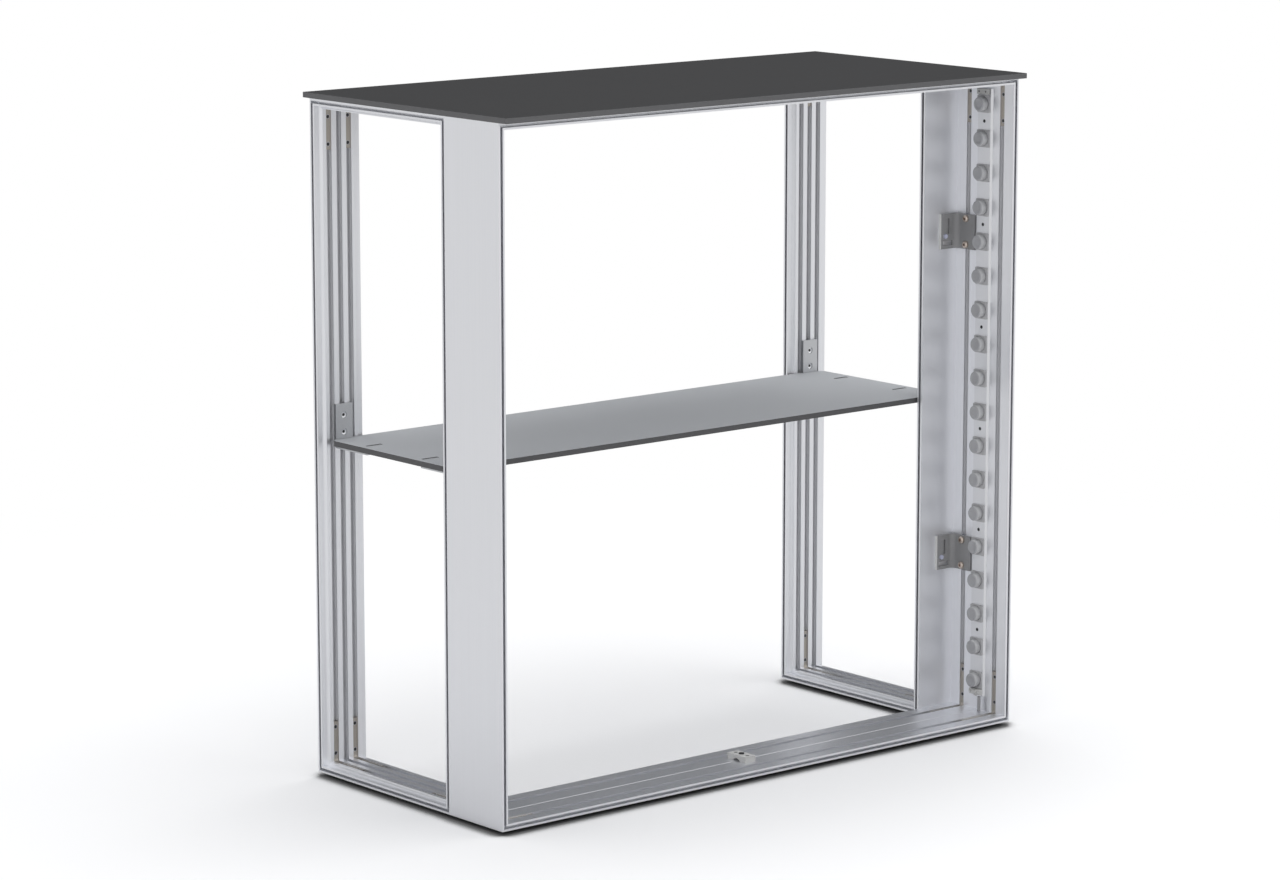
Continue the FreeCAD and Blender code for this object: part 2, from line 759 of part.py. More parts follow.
def wall_screws(label, side):
    """The single screws that hold an upright pair of angles to an end frame's wall."""
    turn = None if side == "right" else (FreeCAD.Vector(0, 1, 0), HALF_TURN)
    x = LIGHT_INNER_X if side == "right" else f"-{LIGHT_INNER_X}"
    z = BRACKET_LOW if side == "right" else BRACKET_HIGH
    body = new_body(label, x, SEAM_Y, z, turn)
    head = new_sketch(body, "XZ_Plane", "-bracket_thickness")
    ring(head, "-wall_screw_reach", "-wall_screw_drop", "wall_screw_head", SMALL_SCREW_SIDES)
    pad(body, head, "wall_screw_head_height", downward=True)
    shank = new_sketch(body, "XZ_Plane", "-bracket_thickness")
    ring(shank, "-wall_screw_reach", "-wall_screw_drop", "wall_screw_diameter", SMALL_SCREW_SIDES)
    pad(body, shank, "bracket_thickness + wall_screw_bite")
    repeat(body, "Z_Axis", f"{BRACKET_HIGH} - {BRACKET_LOW}", 2)


# LED strips
def strip_body(label, side, z):
    """A body on an upright's inner face; the left one faces the other way."""
    if side == "right":
        return new_body(label, LIGHT_INNER_X, LIGHT_MID_Y, z)
    return new_body(label, f"-{LIGHT_INNER_X}", LIGHT_MID_Y, z, (UPRIGHT, HALF_TURN))


def led_bar(side):
    """The strip's aluminium bar, bevelled along both edges, with sunk screw holes."""
    body = strip_body(f"{side}_led_bar", side, "glide_height + bar_bottom_gap")
    section = new_sketch(body, "XY_Plane")
    outline(section, [
        ("0", "-bar_width / 2"),
        ("0", "bar_width / 2"),
        ("-bar_height", "bar_face_width / 2"),
        ("-bar_height", "-bar_face_width / 2"),
    ])
    pad(body, section, BAR_LENGTH)
    spots = [("0", f"{spot} - bar_bottom_gap") for spot in led_screw_spots(from_top=False)]
    hole = "bar_screw_diameter + screw_clearance"
    drill(body, "YZ_Plane", "-bar_height", "bar_height + cut_overrun", hole, spots, upward=True)
    sink = "bar_screw_head + screw_clearance"
    drill(body, "YZ_Plane", "-bar_height", "bar_screw_head_height", sink, spots, upward=True)


def led_bar_screws(side):
    low = f"glide_height + {led_screw_spots(from_top=False)[0]}"
    body = strip_body(f"{side}_led_bar_screws", side, low)
    head = new_sketch(body, "YZ_Plane", "bar_screw_head_height - bar_height")
    ring(head, "0", "0", "bar_screw_head", SMALL_SCREW_SIDES)
    pad(body, head, "bar_screw_head_height", downward=True)
    shank = new_sketch(body, "YZ_Plane", "bar_screw_head_height - bar_height")
    ring(shank, "0", "0", "bar_screw_diameter", SMALL_SCREW_SIDES)
    pad(body, shank, "bar_height - bar_screw_head_height + bar_screw_bite")
    repeat(body, "Z_Axis", f"{LEDS_PER_SCREW} * {LED_PITCH}", SCREWS_PER_STRIP)


def led_modules(side):
    """The square LED carriers along the bar."""
    body = strip_body(f"{side}_led_modules", side, LED_LOW_Z)
    block = new_sketch(body, "YZ_Plane", "-bar_height")
    rectangle(block, "-led_base / 2", "led_base / 2", "-led_base / 2", "led_base / 2")
    pad(body, block, "led_base_height", downward=True)
    repeat(body, "Z_Axis", LED_PITCH, LEDS_PER_STRIP)


def led_lenses(side):
    """Round lenses that throw the light across the box."""
    body = strip_body(f"{side}_led_lenses", side, LED_LOW_Z)
    seat = "-bar_height - led_base_height"
    barrel = new_sketch(body, "YZ_Plane", seat)
    ring(barrel, "0", "0", "lens_diameter", LENS_SIDES)
    pad(body, barrel, "lens_height - lens_round", downward=True)
    rim = new_sketch(body, "YZ_Plane", f"{seat} - lens_height + lens_round")
    ring(rim, "0", "0", "lens_diameter", LENS_SIDES)
    face = new_sketch(body, "YZ_Plane", f"{seat} - lens_height")
    ring(face, "0", "0", "lens_diameter - 2 * lens_round", LENS_SIDES)
    loft(body, rim, face)
    repeat(body, "Z_Axis", LED_PITCH, LEDS_PER_STRIP)


def led_end_clip(side):
    """The clip over the bar's upper end."""
    body = strip_body(f"{side}_led_end_clip", side, f"{FRAME_TOP} - bar_top_gap")
    block = new_sketch(body, "YZ_Plane", "-bar_height")
    rectangle(block, "-end_clip_width / 2", "end_clip_width / 2", "-end_clip_height", "0")
    pad(body, block, "end_clip_thickness", downward=True)


def led_plug(side):
    """The plug housing at the bar's lower end, where the lead leaves."""
    body = strip_body(f"{side}_led_plug", side, "glide_height + bar_bottom_gap")
    block = new_sketch(body, "YZ_Plane", "-bar_height")
    rectangle(block, "-plug_offset - plug_width / 2", "plug_width / 2 - plug_offset", "0",
              "plug_height")
    pad(body, block, "plug_thickness", downward=True)


def led_lead(side):
    """The lead from the plug straight down into the bottom rail's chamber."""
    body = strip_body(f"{side}_led_lead", side, "glide_height + bar_bottom_gap")
    sketch = new_sketch(body, "XY_Plane")
    ring(sketch, "-bar_height - plug_thickness / 2", "-lead_offset", "lead_diameter", SCREW_SIDES)
    pad(body, sketch, "bar_bottom_gap - skin", downward=True)


# Shelf
def shelf_board():
    """A thin board, notched for the supports, with slots for their tabs."""
    body = new_body("shelf_board", y=SIDE_MID_Y, z=SHELF_BOTTOM)
    sketch = new_sketch(body, "XY_Plane")
    rectangle(sketch, "0", SHELF_HALF_LENGTH, "0", SHELF_HALF_DEPTH)
    pad(body, sketch, "shelf_thickness")
    notch = new_sketch(body, "XY_Plane")
    half = "(support_width / 2 + shelf_gap)"
    plate_face = f"{SUPPORT_SEAT} - support_thickness - shelf_gap"
    rectangle(notch, f"{SIDE_MID_X} - {half}", f"{SIDE_MID_X} + {half}", plate_face,
              f"{SHELF_HALF_DEPTH} + cut_overrun")
    pocket(body, notch)
    corner = new_sketch(body, "XY_Plane")
    cut = "shelf_corner_cut + cut_overrun"
    outline(corner, [
        (f"{SHELF_HALF_LENGTH} + cut_overrun", f"{SHELF_HALF_DEPTH} + cut_overrun"),
        (f"{SHELF_HALF_LENGTH} - ({cut})", f"{SHELF_HALF_DEPTH} + cut_overrun"),
        (f"{SHELF_HALF_LENGTH} + cut_overrun", f"{SHELF_HALF_DEPTH} - ({cut})"),
    ])
    pocket(body, corner)
    slot = new_sketch(body, "XY_Plane")
    tab_half = "(support_tab_width / 2 + tab_clearance)"
    tab_end = f"{SUPPORT_SEAT} - support_leg"
    rectangle(slot, f"{SIDE_MID_X} - {tab_half}", f"{SIDE_MID_X} + {tab_half}",
              f"{tab_end} - tab_clearance", f"{tab_end} + support_thickness + tab_clearance")
    pocket(body, slot)
    mirror(body, "YZ_Plane", "XZ_Plane")


def shelf_support(label, x, end):
    """A bent bracket: a plate on the upright, a leg under the shelf, a tab in its slot."""
    turn = None if end == "rear" else (UPRIGHT, HALF_TURN)
    y = f"{SIDE_MID_Y} + {SUPPORT_SEAT}" if end == "rear" else f"{SIDE_MID_Y} - {SUPPORT_SEAT}"
    body = new_body(label, x, y, SHELF_BOTTOM, turn)
    profile = new_sketch(body, "YZ_Plane")
    top = "shelf_thickness + support_upstand"
    outline(profile, [
        ("0", "support_bend - support_thickness"),
        ("0", top),
        ("-support_thickness", top),
        ("-support_thickness", "0"),
        ("-support_leg", "0"),
        ("-support_leg", "-support_thickness"),
        ("-support_bend", "-support_thickness", "support_bend", "left"),
    ])
    pad(body, profile, "support_width", both_ways=True)
    tab = new_sketch(body, "XY_Plane")
    rectangle(tab, "-support_tab_width / 2", "support_tab_width / 2", "-support_leg",
              "support_thickness - support_leg")
    pad(body, tab, "shelf_thickness - support_tab_sink")
    spots = [("0", height) for height in support_screw_heights()]
    hole = "support_screw_diameter + screw_clearance"
    drill(body, "XZ_Plane", "-support_thickness", "support_thickness + cut_overrun", hole, spots,
          upward=True, sides=SCREW_SIDES)
    sink = "support_screw_head + screw_clearance"
    drill(body, "XZ_Plane", "-support_thickness", "support_screw_sink", sink, spots,
          upward=True, sides=SCREW_SIDES)


def support_screw_heights():
    low = "shelf_thickness + support_screw_low"
    return low, f"{low} + support_screw_spacing"


def support_screws():
    """Sunk screws through the supports into T-nuts in the middle slots."""
    body = new_body("shelf_support_screws", y=SIDE_MID_Y, z=SHELF_BOTTOM)
    low = support_screw_heights()[0]
    seat = f"{SUPPORT_SEAT} - support_thickness + support_screw_sink"
    head = new_sketch(body, "XZ_Plane", seat)
    ring(head, SIDE_MID_X, low, "support_screw_head", SCREW_SIDES)
    pad(body, head, "support_screw_head_height", downward=True)
    shank = new_sketch(body, "XZ_Plane", seat)
    ring(shank, SIDE_MID_X, low, "support_screw_diameter", SCREW_SIDES)
    reach = "support_thickness - support_screw_sink + slot_lip + nut_thickness"
    pad(body, shank, reach)
    repeat(body, "Z_Axis", "support_screw_spacing", 2)
    mirror(body, "YZ_Plane", "XZ_Plane")


def support_nuts():
    body = new_body("shelf_support_nuts", y=SIDE_MID_Y, z=SHELF_BOTTOM)
    low = support_screw_heights()[0]
    block = new_sketch(body, "XZ_Plane", f"{SUPPORT_SEAT} + slot_lip + 2 * support_seat_gap")
    rectangle(block, f"{SIDE_MID_X} - nut_width / 2", f"{SIDE_MID_X} + nut_width / 2",
              f"{low} - nut_length / 2", f"{low} + nut_length / 2")
    ring(block, SIDE_MID_X, low, "support_screw_diameter + screw_clearance", SCREW_SIDES)
    pad(body, block, "nut_thickness")
    repeat(body, "Z_Axis", "support_screw_spacing", 2)
    mirror(body, "YZ_Plane", "XZ_Plane")


# Bridge clip
def bridge_clip():
    """An arched clip on the middle of the bottom rail, with sunk screws."""
    body = new_body("bridge_clip", y=LIGHT_MID_Y, z=CLIP_Z)
    block = new_sketch(body, "XY_Plane")
    rectangle(block, "-clip_length / 2", "clip_length / 2", "-clip_depth / 2", "clip_depth / 2")
    pad(body, block, "clip_height")
    arch = new_sketch(body, "YZ_Plane")
    arch_radius = "(clip_arch_width * clip_arch_width / 4 / clip_arch_height + clip_arch_height) / 2"
    outline(arch, [
        ("clip_arch_width / 2", "0", arch_radius, "left"),
        ("0", "clip_arch_height", arch_radius, "left"),
        ("-clip_arch_width / 2", "0"),
    ])
    pocket(body, arch)
    spots = [("0", "clip_hole_spacing / 2"), ("0", "-clip_hole_spacing / 2")]
    hole = "clip_screw_diameter + screw_clearance"
    drill(body, "XY_Plane", "clip_height", "clip_height + cut_overrun", hole, spots, sides=SCREW_SIDES)
    drill(body, "XY_Plane", "clip_height", "clip_hole_sink", "clip_hole_head", spots)


def bridge_clip_screws():
    body = new_body("bridge_clip_screws", y=LIGHT_MID_Y, z=CLIP_Z)
    seat = "clip_height - clip_hole_sink"
    head = new_sketch(body, "XY_Plane", seat)
    ring(head, "0", "clip_hole_spacing / 2", "clip_screw_head", SMALL_SCREW_SIDES)
    pad(body, head, "clip_screw_head_height")
    shank = new_sketch(body, "XY_Plane", seat)
    ring(shank, "0", "clip_hole_spacing / 2", "clip_screw_diameter", SCREW_SIDES)
    pad(body, shank, f"{seat} + clip_screw_bite", downward=True)
    mirror(body, "XZ_Plane")


def bridge_clip_knob():
    """The round screw head in the middle of the clip."""
    body = new_body("bridge_clip_centre_screw", y=LIGHT_MID_Y, z=f"{CLIP_Z} + clip_height")
    sketch = new_sketch(body, "XY_Plane")
    ring(sketch, "0", "0", "clip_centre_screw", SCREW_SIDES)
    pad(body, sketch, "clip_centre_screw_height")


# Floor glides
def glide(label, x, y):
    body = new_body(label, x, y)
    foot = new_sketch(body, "XY_Plane")
    ring(foot, "0", "0", "glide_diameter", GLIDE_SIDES)
    pad(body, foot, "glide_height")


# Assembly
counter_board()
board_screws()
light_frame()
for side_name, inward, middle in (("left", -1, f"-{SIDE_MID_X}"), ("right", 1, SIDE_MID_X)):
    end_rails = side_frame(side_name, middle)
    wall_screw_holes(end_rails["front_upright"], inward)
    board_screw_holes(end_rails["top_rail"])

LIGHT_CORNERS = {"span": "frame_length", "rise": RAIL_RISE, "slot": "light_slot_offset", "y": LIGHT_MID_Y}
SIDE_TURN = (UPRIGHT, QUARTER_TURN)
LEFT_CORNERS = {"span": "side_depth", "rise": LAND_RISE, "slot": "side_slot_pitch",
                "x": f"-{SIDE_MID_X}", "y": SIDE_MID_Y, "turn": SIDE_TURN}
RIGHT_CORNERS = {"span": "side_depth", "rise": LAND_RISE, "slot": "0",
                 "x": SIDE_MID_X, "y": SIDE_MID_Y, "turn": SIDE_TURN}
for frame_name, corners_of in (("light_box", LIGHT_CORNERS), ("left_end", LEFT_CORNERS),
                               ("right_end", RIGHT_CORNERS)):
    corner_connectors(f"{frame_name}_corner_connectors", **corners_of)
    grub_screws(f"{frame_name}_grub_screws", **corners_of)

for side_name in ("left", "right"):
    join_bracket(f"{side_name}_lower_join_bracket", side_name, BRACKET_LOW)
    join_bracket(f"{side_name}_upper_join_bracket", side_name, BRACKET_HIGH)
    wall_screws(f"{side_name}_join_bracket_wall_screws", side_name)
bracket_screws()
bracket_nuts()

for side_name in ("left", "right"):
    led_bar(side_name)
    led_bar_screws(side_name)
    led_modules(side_name)
    led_lenses(side_name)
    led_end_clip(side_name)
    led_plug(side_name)
    led_lead(side_name)

shelf_board()
for side_name, middle in (("left", f"-{SIDE_MID_X}"), ("right", SIDE_MID_X)):
    for end_name in ("front", "rear"):
        shelf_support(f"shelf_support_{end_name}_{side_name}", middle, end_name)
support_screws()
support_nuts()

bridge_clip()
bridge_clip_screws()
bridge_clip_knob()

GLIDE_X = "(frame_length / 2 - glide_inset)"
GLIDE_REAR_Y = f"({SIDE_MID_Y} + side_depth / 2 - glide_inset)"
for side_name, sign in (("left", "-"), ("right", "")):
    glide(f"front_{side_name}_glide", f"{sign}{GLIDE_X}", LIGHT_MID_Y)
    glide(f"rear_{side_name}_glide", f"{sign}{SIDE_MID_X}", GLIDE_REAR_Y)

# Every feature has to be sound, and every cut has to take something away
doc.recompute()
faults = [thing.Name for thing in doc.Objects if {"Invalid", "Error"} & set(thing.State)]
for piece in pieces:
    if piece.Shape.isNull() or not piece.Shape.isValid() or not piece.Shape.Solids:
        faults.append(f"{piece.Label} has no sound solid")
for cut in doc.findObjects("PartDesign::Pocket"):
    if not faults and cut.Shape.Volume >= cut.BaseFeature.Shape.Volume:
        faults.append(f"{cut.Name} cuts nothing")
if faults:
    raise RuntimeError("faults: " + ", ".join(faults))

os.makedirs("parts", exist_ok=True)
for piece in pieces:
    piece.Shape.exportStep(f"parts/{piece.Label}.step")
    print(piece.Label, len(piece.Shape.Solids), round(piece.Shape.Volume))
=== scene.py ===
import math

import bmesh
import bpy
from bpy.props import FloatProperty, FloatVectorProperty, PointerProperty
from mathutils import Matrix, Vector


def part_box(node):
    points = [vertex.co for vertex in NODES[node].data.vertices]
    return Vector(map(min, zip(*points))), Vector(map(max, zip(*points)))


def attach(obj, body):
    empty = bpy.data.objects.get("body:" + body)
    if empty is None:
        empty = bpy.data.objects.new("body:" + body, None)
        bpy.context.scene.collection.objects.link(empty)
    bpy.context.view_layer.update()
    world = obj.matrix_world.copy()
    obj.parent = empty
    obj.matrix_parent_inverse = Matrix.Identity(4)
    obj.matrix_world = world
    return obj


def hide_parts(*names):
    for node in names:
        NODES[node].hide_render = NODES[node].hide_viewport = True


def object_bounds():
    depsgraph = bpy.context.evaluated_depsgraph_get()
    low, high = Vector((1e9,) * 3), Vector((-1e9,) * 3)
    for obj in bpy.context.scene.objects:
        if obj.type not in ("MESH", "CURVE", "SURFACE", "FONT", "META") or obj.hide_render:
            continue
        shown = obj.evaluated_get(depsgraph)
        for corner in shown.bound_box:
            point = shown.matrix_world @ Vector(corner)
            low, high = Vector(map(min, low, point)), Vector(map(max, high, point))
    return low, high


bl_info = {
    "name": "Illuminated counter",
    "version": (1, 0, 0),
    "blender": (4, 5, 0),
    "location": "View3D > Sidebar > Counter",
    "description": "Dresses the counter's extrusions, boards, brackets and LED strips, and lights them",
    "category": "Object",
}

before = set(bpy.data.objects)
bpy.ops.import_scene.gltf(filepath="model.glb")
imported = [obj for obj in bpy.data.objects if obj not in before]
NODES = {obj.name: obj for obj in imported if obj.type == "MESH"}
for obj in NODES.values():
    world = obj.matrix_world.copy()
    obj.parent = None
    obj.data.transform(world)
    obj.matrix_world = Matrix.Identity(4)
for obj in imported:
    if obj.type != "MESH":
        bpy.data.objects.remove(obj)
CAD_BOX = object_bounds()
MM = 0.001
COUNTER = "counter"
SHELF = "shelf"
SIDES = ("left", "right")
ENDS = ("front", "rear")
FRAMES = ("light_box", "left_end", "right_end")
X, Y, Z = range(3)
X_AXIS = Vector((1, 0, 0))
Z_AXIS = Vector((0, 0, 1))
IN_PLACE = Matrix.Identity(4)
FULL_TURN = 2 * math.pi
QUAD = 4
HEXAGON = 6

# Roughness of each finish
ROUGHNESS = {
    "drawn": 0.4,
    "zinc": 0.3,
    "wall_screw": 0.35,
    "dark_steel": 0.35,
    "bronze": 0.32,
    "bronze_socket_painted_shade": 0.5,
    "corner_bar": 0.38,
    "support": 0.4,
    "bracket": 0.55,
    "bare_edge_highlight": 0.4,
    "laminate": 0.55,
    "socket": 0.6,
    "carrier": 0.5,
    "end_clip": 0.45,
    "plug": 0.4,
    "lead": 0.5,
    "bridge_clip": 0.4,
    "rubber": 0.7,
    "floor": 0.9,
}

# Specular level of each finish that isn't bare metal
PLASTIC_GLOSS = 0.5
COUNTER_GLOSS = 0.08
SHELF_GLOSS = 0.15
BRACKET_GLOSS = 0.3
BRACKET_METALLIC = 0.2
FLOOR_GLOSS = 0.1

# How strongly each grain shows in the tone and in the relief
DRAWN_DEPTH = 0.05
DRAWN_RELIEF = 0.01
PLATING_DEPTH = 0.16
PLATING_RELIEF = 0.04
GRAIN_DEPTH = 0.1
GRAIN_RELIEF = 0.08
LAMINATE_DEPTH = 0.05
RELIEF_HEIGHT = 0.1 * MM

# Fineness of each grain: detail of the noise, and how many spots there are to a metre
LINE_DETAIL = 3
GRAIN_DETAIL = 2
PLATING_SPOTS = 400
CLOUD_SPOTS = 5
# Closeness of the drawn lines' changes along a piece, as a share of that across it
LENGTHWISE_SHARE = 0.004

# Painted shade inside the slots: where it starts below the face, is full and ends
SLOT_SHADE_START = 0.1 * MM
SLOT_SHADE_FULL = 2.5 * MM
SLOT_SHADE_END = 8 * MM

# How straight a face looks along an axis before it takes the face's tone
FACE_SLOPE = 0.6

# Painted contact shade on the floor: open shares of the sky where the floor by the frame is darkest and
# where it is plain, and its darkest painted tone
CONTACT_DARK = 0.62
CONTACT_OPEN = 0.96
CONTACT_SHADE = 0.2

# Places of a colour mix node's factor, first, second and result sockets
MIX_SOCKETS = (0, 6, 7, 2)

# Sides and steps of the round forms
ROD_SIDES = 24
LENS_SIDES = 32
ROUND_STEPS = 3
DOME_STEPS = 4
ARRIS_STEPS = 2

# Mesh tolerances
MERGE_DISTANCE = 0.01 * MM
LEVEL_DIGITS = 5
FLAT_ANGLE = math.radians(0.5)
ARRIS_ANGLE = math.radians(30)

# Shares of a screw's socket, a lens and an end clip
SOCKET_RIM_SHARE = 0.05
LENS_TAPER = 0.97
END_CLIP_SCREW_SHARES = (-0.28, 0.28)
# Blocks of a plug: start and end from the bar, then lowest and highest shares across and up
PLUG_BLOCK_SHARES = (
    (0, 0.7, (0, 0.2), (1, 1)),
    (0.6, 1, (0.3, 0.35), (0.7, 0.95)),
    (0.1, 0.6, (0.38, 0), (0.62, 0.3)),
    (0.6, 0.85, (0.02, 0.4), (0.2, 0.8)),
    (0.6, 0.85, (0.8, 0.4), (0.98, 0.8)),
)

# Lamps: role, place and width in metres
LAMPS = (
    ("key", (-3.2, -1.8, 2.6), 2.4),
    ("fill", (1.5, -3.4, 3.0), 2.6),
    ("top", (0.9, 0.0, 4.2), 2.4),
)
SENSOR_WIDTH = 36
CLIP_END = 200


# Values that a user would change
def finish_colour(name, description, default):
    """A colour with its name and default."""
    return FloatVectorProperty(
        name=name, description=description, subtype="COLOR", size=3, min=0, max=1, default=default
    )


def length(name, description, millimetres):
    """A length with its name and its default in millimetres."""
    return FloatProperty(
        name=name, description=description, subtype="DISTANCE", unit="LENGTH",
        default=millimetres * MM, min=0, precision=5
    )


def share(name, description, default):
    """A share between none and all, with its name and default."""
    return FloatProperty(
        name=name, description=description, subtype="FACTOR", default=default, min=0, max=1
    )


class CounterFinishes(bpy.types.PropertyGroup):
    """Colours of the counter's pieces."""

    extrusion: finish_colour("Extrusion", "Anodised aluminium of the frames", (0.88, 0.889, 0.92))
    # Painted shade: a darker tone of the metal that stands in for the shade inside the slots
    slot_painted_shade: finish_colour("Slot inside", "Shaded metal inside the slots", (0.77, 0.775, 0.793))
    led_bar: finish_colour("LED bar", "Aluminium bar under the LEDs", (0.793, 0.80, 0.823))
    counter_face: finish_colour("Counter face", "Dark laminate of the counter board", (0.042, 0.042, 0.043))
    # Painted light: the counter board's edges take a lighter tone than its top, for the light that falls on
    # them
    counter_edge_painted_light: finish_colour("Counter core", "Core at the counter board's edges", (0.135, 0.135, 0.138))
    shelf_face: finish_colour("Shelf face", "Silver laminate of the shelf", (0.53, 0.546, 0.568))
    shelf_core: finish_colour("Shelf core", "Dark core at the shelf's edges", (0.10, 0.10, 0.103))
    bracket: finish_colour("Bracket", "Dark coated angle plates", (0.31, 0.31, 0.316))
    # Partly the plates' bare cut metal, partly a painted highlight on the one end face that catches the
    # light
    bare_edge_highlight: finish_colour("Bare edge", "Cut edge of the angle plates", (0.66, 0.66, 0.65))
    # Partly the screws' own bluish zinc, partly painted sheen: a pale non-metal tone stands in for their
    # bright reflection
    wall_screw: finish_colour("Wall screw", "Bright screws through the angle plates", (0.52, 0.54, 0.68))
    support: finish_colour("Shelf support", "Plated plates under the shelf", (0.57, 0.58, 0.60))
    connector: finish_colour("Connector", "Corner bars in the slots", (0.40, 0.37, 0.335))
    zinc: finish_colour("Zinc screw", "Zinc plated screws", (0.64, 0.65, 0.71))
    bronze: finish_colour("Bronze screw", "Warm plated round-head screws", (0.66, 0.57, 0.50))
    # Painted shade: a darker bronze inside the round heads' sockets
    bronze_socket_painted_shade: finish_colour("Bronze socket", "Shaded socket of those screws", (0.40, 0.31, 0.27))
    carrier: finish_colour("LED carrier", "Grey carrier of each LED", (0.47, 0.47, 0.48))
    lens: finish_colour("Lens", "Smoky moulded lens", (0.40, 0.403, 0.42))
    # Painted light: the lens's side is paler than its front, for light that passes through the plastic
    lens_side_painted_light: finish_colour("Lens side", "Paler side of a lens, where light passes", (0.53, 0.533, 0.542))
    pale_plastic: finish_colour("Pale plastic", "Clips and plug housings", (0.44, 0.44, 0.43))
    plug: finish_colour("Plug", "Light housing of the LED plug", (0.62, 0.62, 0.61))
    lead: finish_colour("Lead", "Sheath of the LED lead", (0.34, 0.34, 0.35))
    clip: finish_colour("Bridge clip", "Light moulded clip", (0.60, 0.60, 0.59))
    dark_steel: finish_colour("Dark steel", "Blackened small screws", (0.055, 0.055, 0.058))
    glide: finish_colour("Glide", "Rubber under the frame", (0.035, 0.035, 0.036))
    # Painted shade: near-black that stands in for the shade inside a screw's socket
    socket_painted_shade: finish_colour("Recess", "Inside of a screw's socket", (0.03, 0.03, 0.03))


class CounterDetail(bpy.types.PropertyGroup):
    """Sizes of the small forms that dress the counter's pieces."""

    board_arris: length("Board arris", "Rounding of the boards' edges", 0.6)
    plate_arris: length("Plate arris", "Rounding of the plates' edges", 0.3)
    moulding_round: length("Moulding round", "Rounding of the moulded pieces' edges", 1.2)
    socket_depth: length("Socket depth", "Depth of the screws' hexagon sockets", 1.6)
    socket_share: share("Socket share", "Socket's width as a share of the head's", 0.38)
    dome_share: share("Dome share", "Rounded part of a round head's height", 0.8)
    dish_share: share("Dish share", "Hollow of a sunk head, from its rim and down", 0.4)
    sunk_socket_share: share("Sunk socket share", "Socket's width as a share of a sunk head's", 0.56)
    grub_ring: length("Grub ring", "Width of the ring about a grub screw's socket", 0.5)
    plug_round: length("Plug round", "Rounding of the plug's blocks", 0.5)
    clip_screw_radius: length("Clip screw radius", "Dark screws of the end clips", 1.4)
    clip_screw_rise: length("Clip screw rise", "How far those screws stand out", 0.2)
    lens_ring: length("Lens ring", "Width of the raised ring on a lens", 2.4)
    lens_dish: length("Lens dish", "Depth of the dish inside the ring", 1.4)
    carrier_corner: length("Carrier corner", "Cut corner of an LED carrier", 2.0)
    light_slot_reach: length("Light box slot reach", "From the middle to the last slot's outside", 42.5)
    end_slot_reach: length("End frame slot reach", "From the middle to the last slot's outside", 24.7)
    streak_width: length("Streak width", "Spacing of the drawn lines on the extrusions", 0.9)
    grain_size: length("Grain size", "Size of the laminates' fine grain", 0.7)


class CounterStage(bpy.types.PropertyGroup):
    """Camera, floor and lamps."""

    camera_focal: FloatProperty(name="Focal length", description="Camera's focal length in millimetres",
                                default=122.29, min=1)
    camera_azimuth: FloatProperty(name="Azimuth", description="Camera's turn about the upright axis",
                                  subtype="ANGLE", default=math.radians(-40.03))
    camera_elevation: FloatProperty(name="Elevation", description="Camera's height angle",
                                    subtype="ANGLE", default=math.radians(10.33))
    camera_place: FloatVectorProperty(name="Camera place", description="Camera's place", subtype="XYZ",
                                      unit="LENGTH", size=3, default=(-4.157, -4.874, 1.645))
    floor_colour: finish_colour("Floor", "Plain pale floor", (0.90, 0.90, 0.905))
    world_colour: finish_colour("World", "Even studio light", (0.985, 0.99, 1.0))
    horizon_strength: FloatProperty(name="Horizon strength", description="Even light from all round",
                                    default=0.06, min=0)
    zenith_strength: FloatProperty(name="Zenith strength", description="Even light from overhead",
                                   default=1.4, min=0)
    floor_size: length("Floor size", "From the floor's middle to its edges", 40000)
    white_start: length("White start", "Where the floor starts to turn white to the camera", 700)
    white_full: length("White full", "Where the floor is all white to the camera", 2200)
    # Reach of the painted contact shade on the floor
    contact_reach: length("Contact reach", "How far the shade right under the frame reaches", 28)
    mirrored_floor: share("Mirrored floor", "How light the floor looks in the metal", 0.73)
    key_power: FloatProperty(name="Key power", description="Large lamp on the left", unit="POWER",
                             default=9, min=0)
    top_power: FloatProperty(name="Top power", description="Large lamp overhead", unit="POWER",
                             default=42, min=0)
    fill_power: FloatProperty(name="Fill power", description="Lamp over the front", unit="POWER",
                              default=7, min=0)
    flag_colour: finish_colour("Grey card", "Tone that upward metal reflects", (0.15, 0.153, 0.16))
    flag_size: length("Grey card size", "Height and width of the card", 7000)
    flag_distance: length("Grey card distance", "How far behind the counter the card stands", 5000)
    side_colour: finish_colour("Side card", "Tone that sloping metal reflects", (0.30, 0.303, 0.31))
    side_turn: FloatProperty(name="Side card turn", description="From the card behind to the card beside",
                             subtype="ANGLE", default=math.radians(75))
    side_size: length("Side card size", "Height and width of the side card", 20000)
    side_distance: length("Side card distance", "How far from the counter the side card stands", 20000)
    side_rise: length("Side card rise", "Height of the side card's lower edge", 4400)


def finishes():
    """The colours in use."""
    return bpy.context.scene.counter_finishes


def detail():
    """The sizes of small forms in use."""
    return bpy.context.scene.counter_detail


def stage_values():
    """The stage's values in use."""
    return bpy.context.scene.counter_stage


# Shader node groups shared by the materials
def group_with(name, inputs, outputs):
    """An empty node group with its sockets, its input node and its output node."""
    group = bpy.data.node_groups.new(name, "ShaderNodeTree")
    for label, kind in inputs:
        group.interface.new_socket(name=label, in_out="INPUT", socket_type=kind)
    for label, kind in outputs:
        group.interface.new_socket(name=label, in_out="OUTPUT", socket_type=kind)
    return group, group.nodes.new("NodeGroupInput"), group.nodes.new("NodeGroupOutput")


def mixed(tree, mode="MIX"):
    """The factor, first, second and result sockets of a new mix node for colours."""
    node = tree.nodes.new("ShaderNodeMix")
    node.data_type = "RGBA"
    node.blend_type = mode
    factor, first, second, result = MIX_SOCKETS
    return node.inputs[factor], node.inputs[first], node.inputs[second], node.outputs[result]


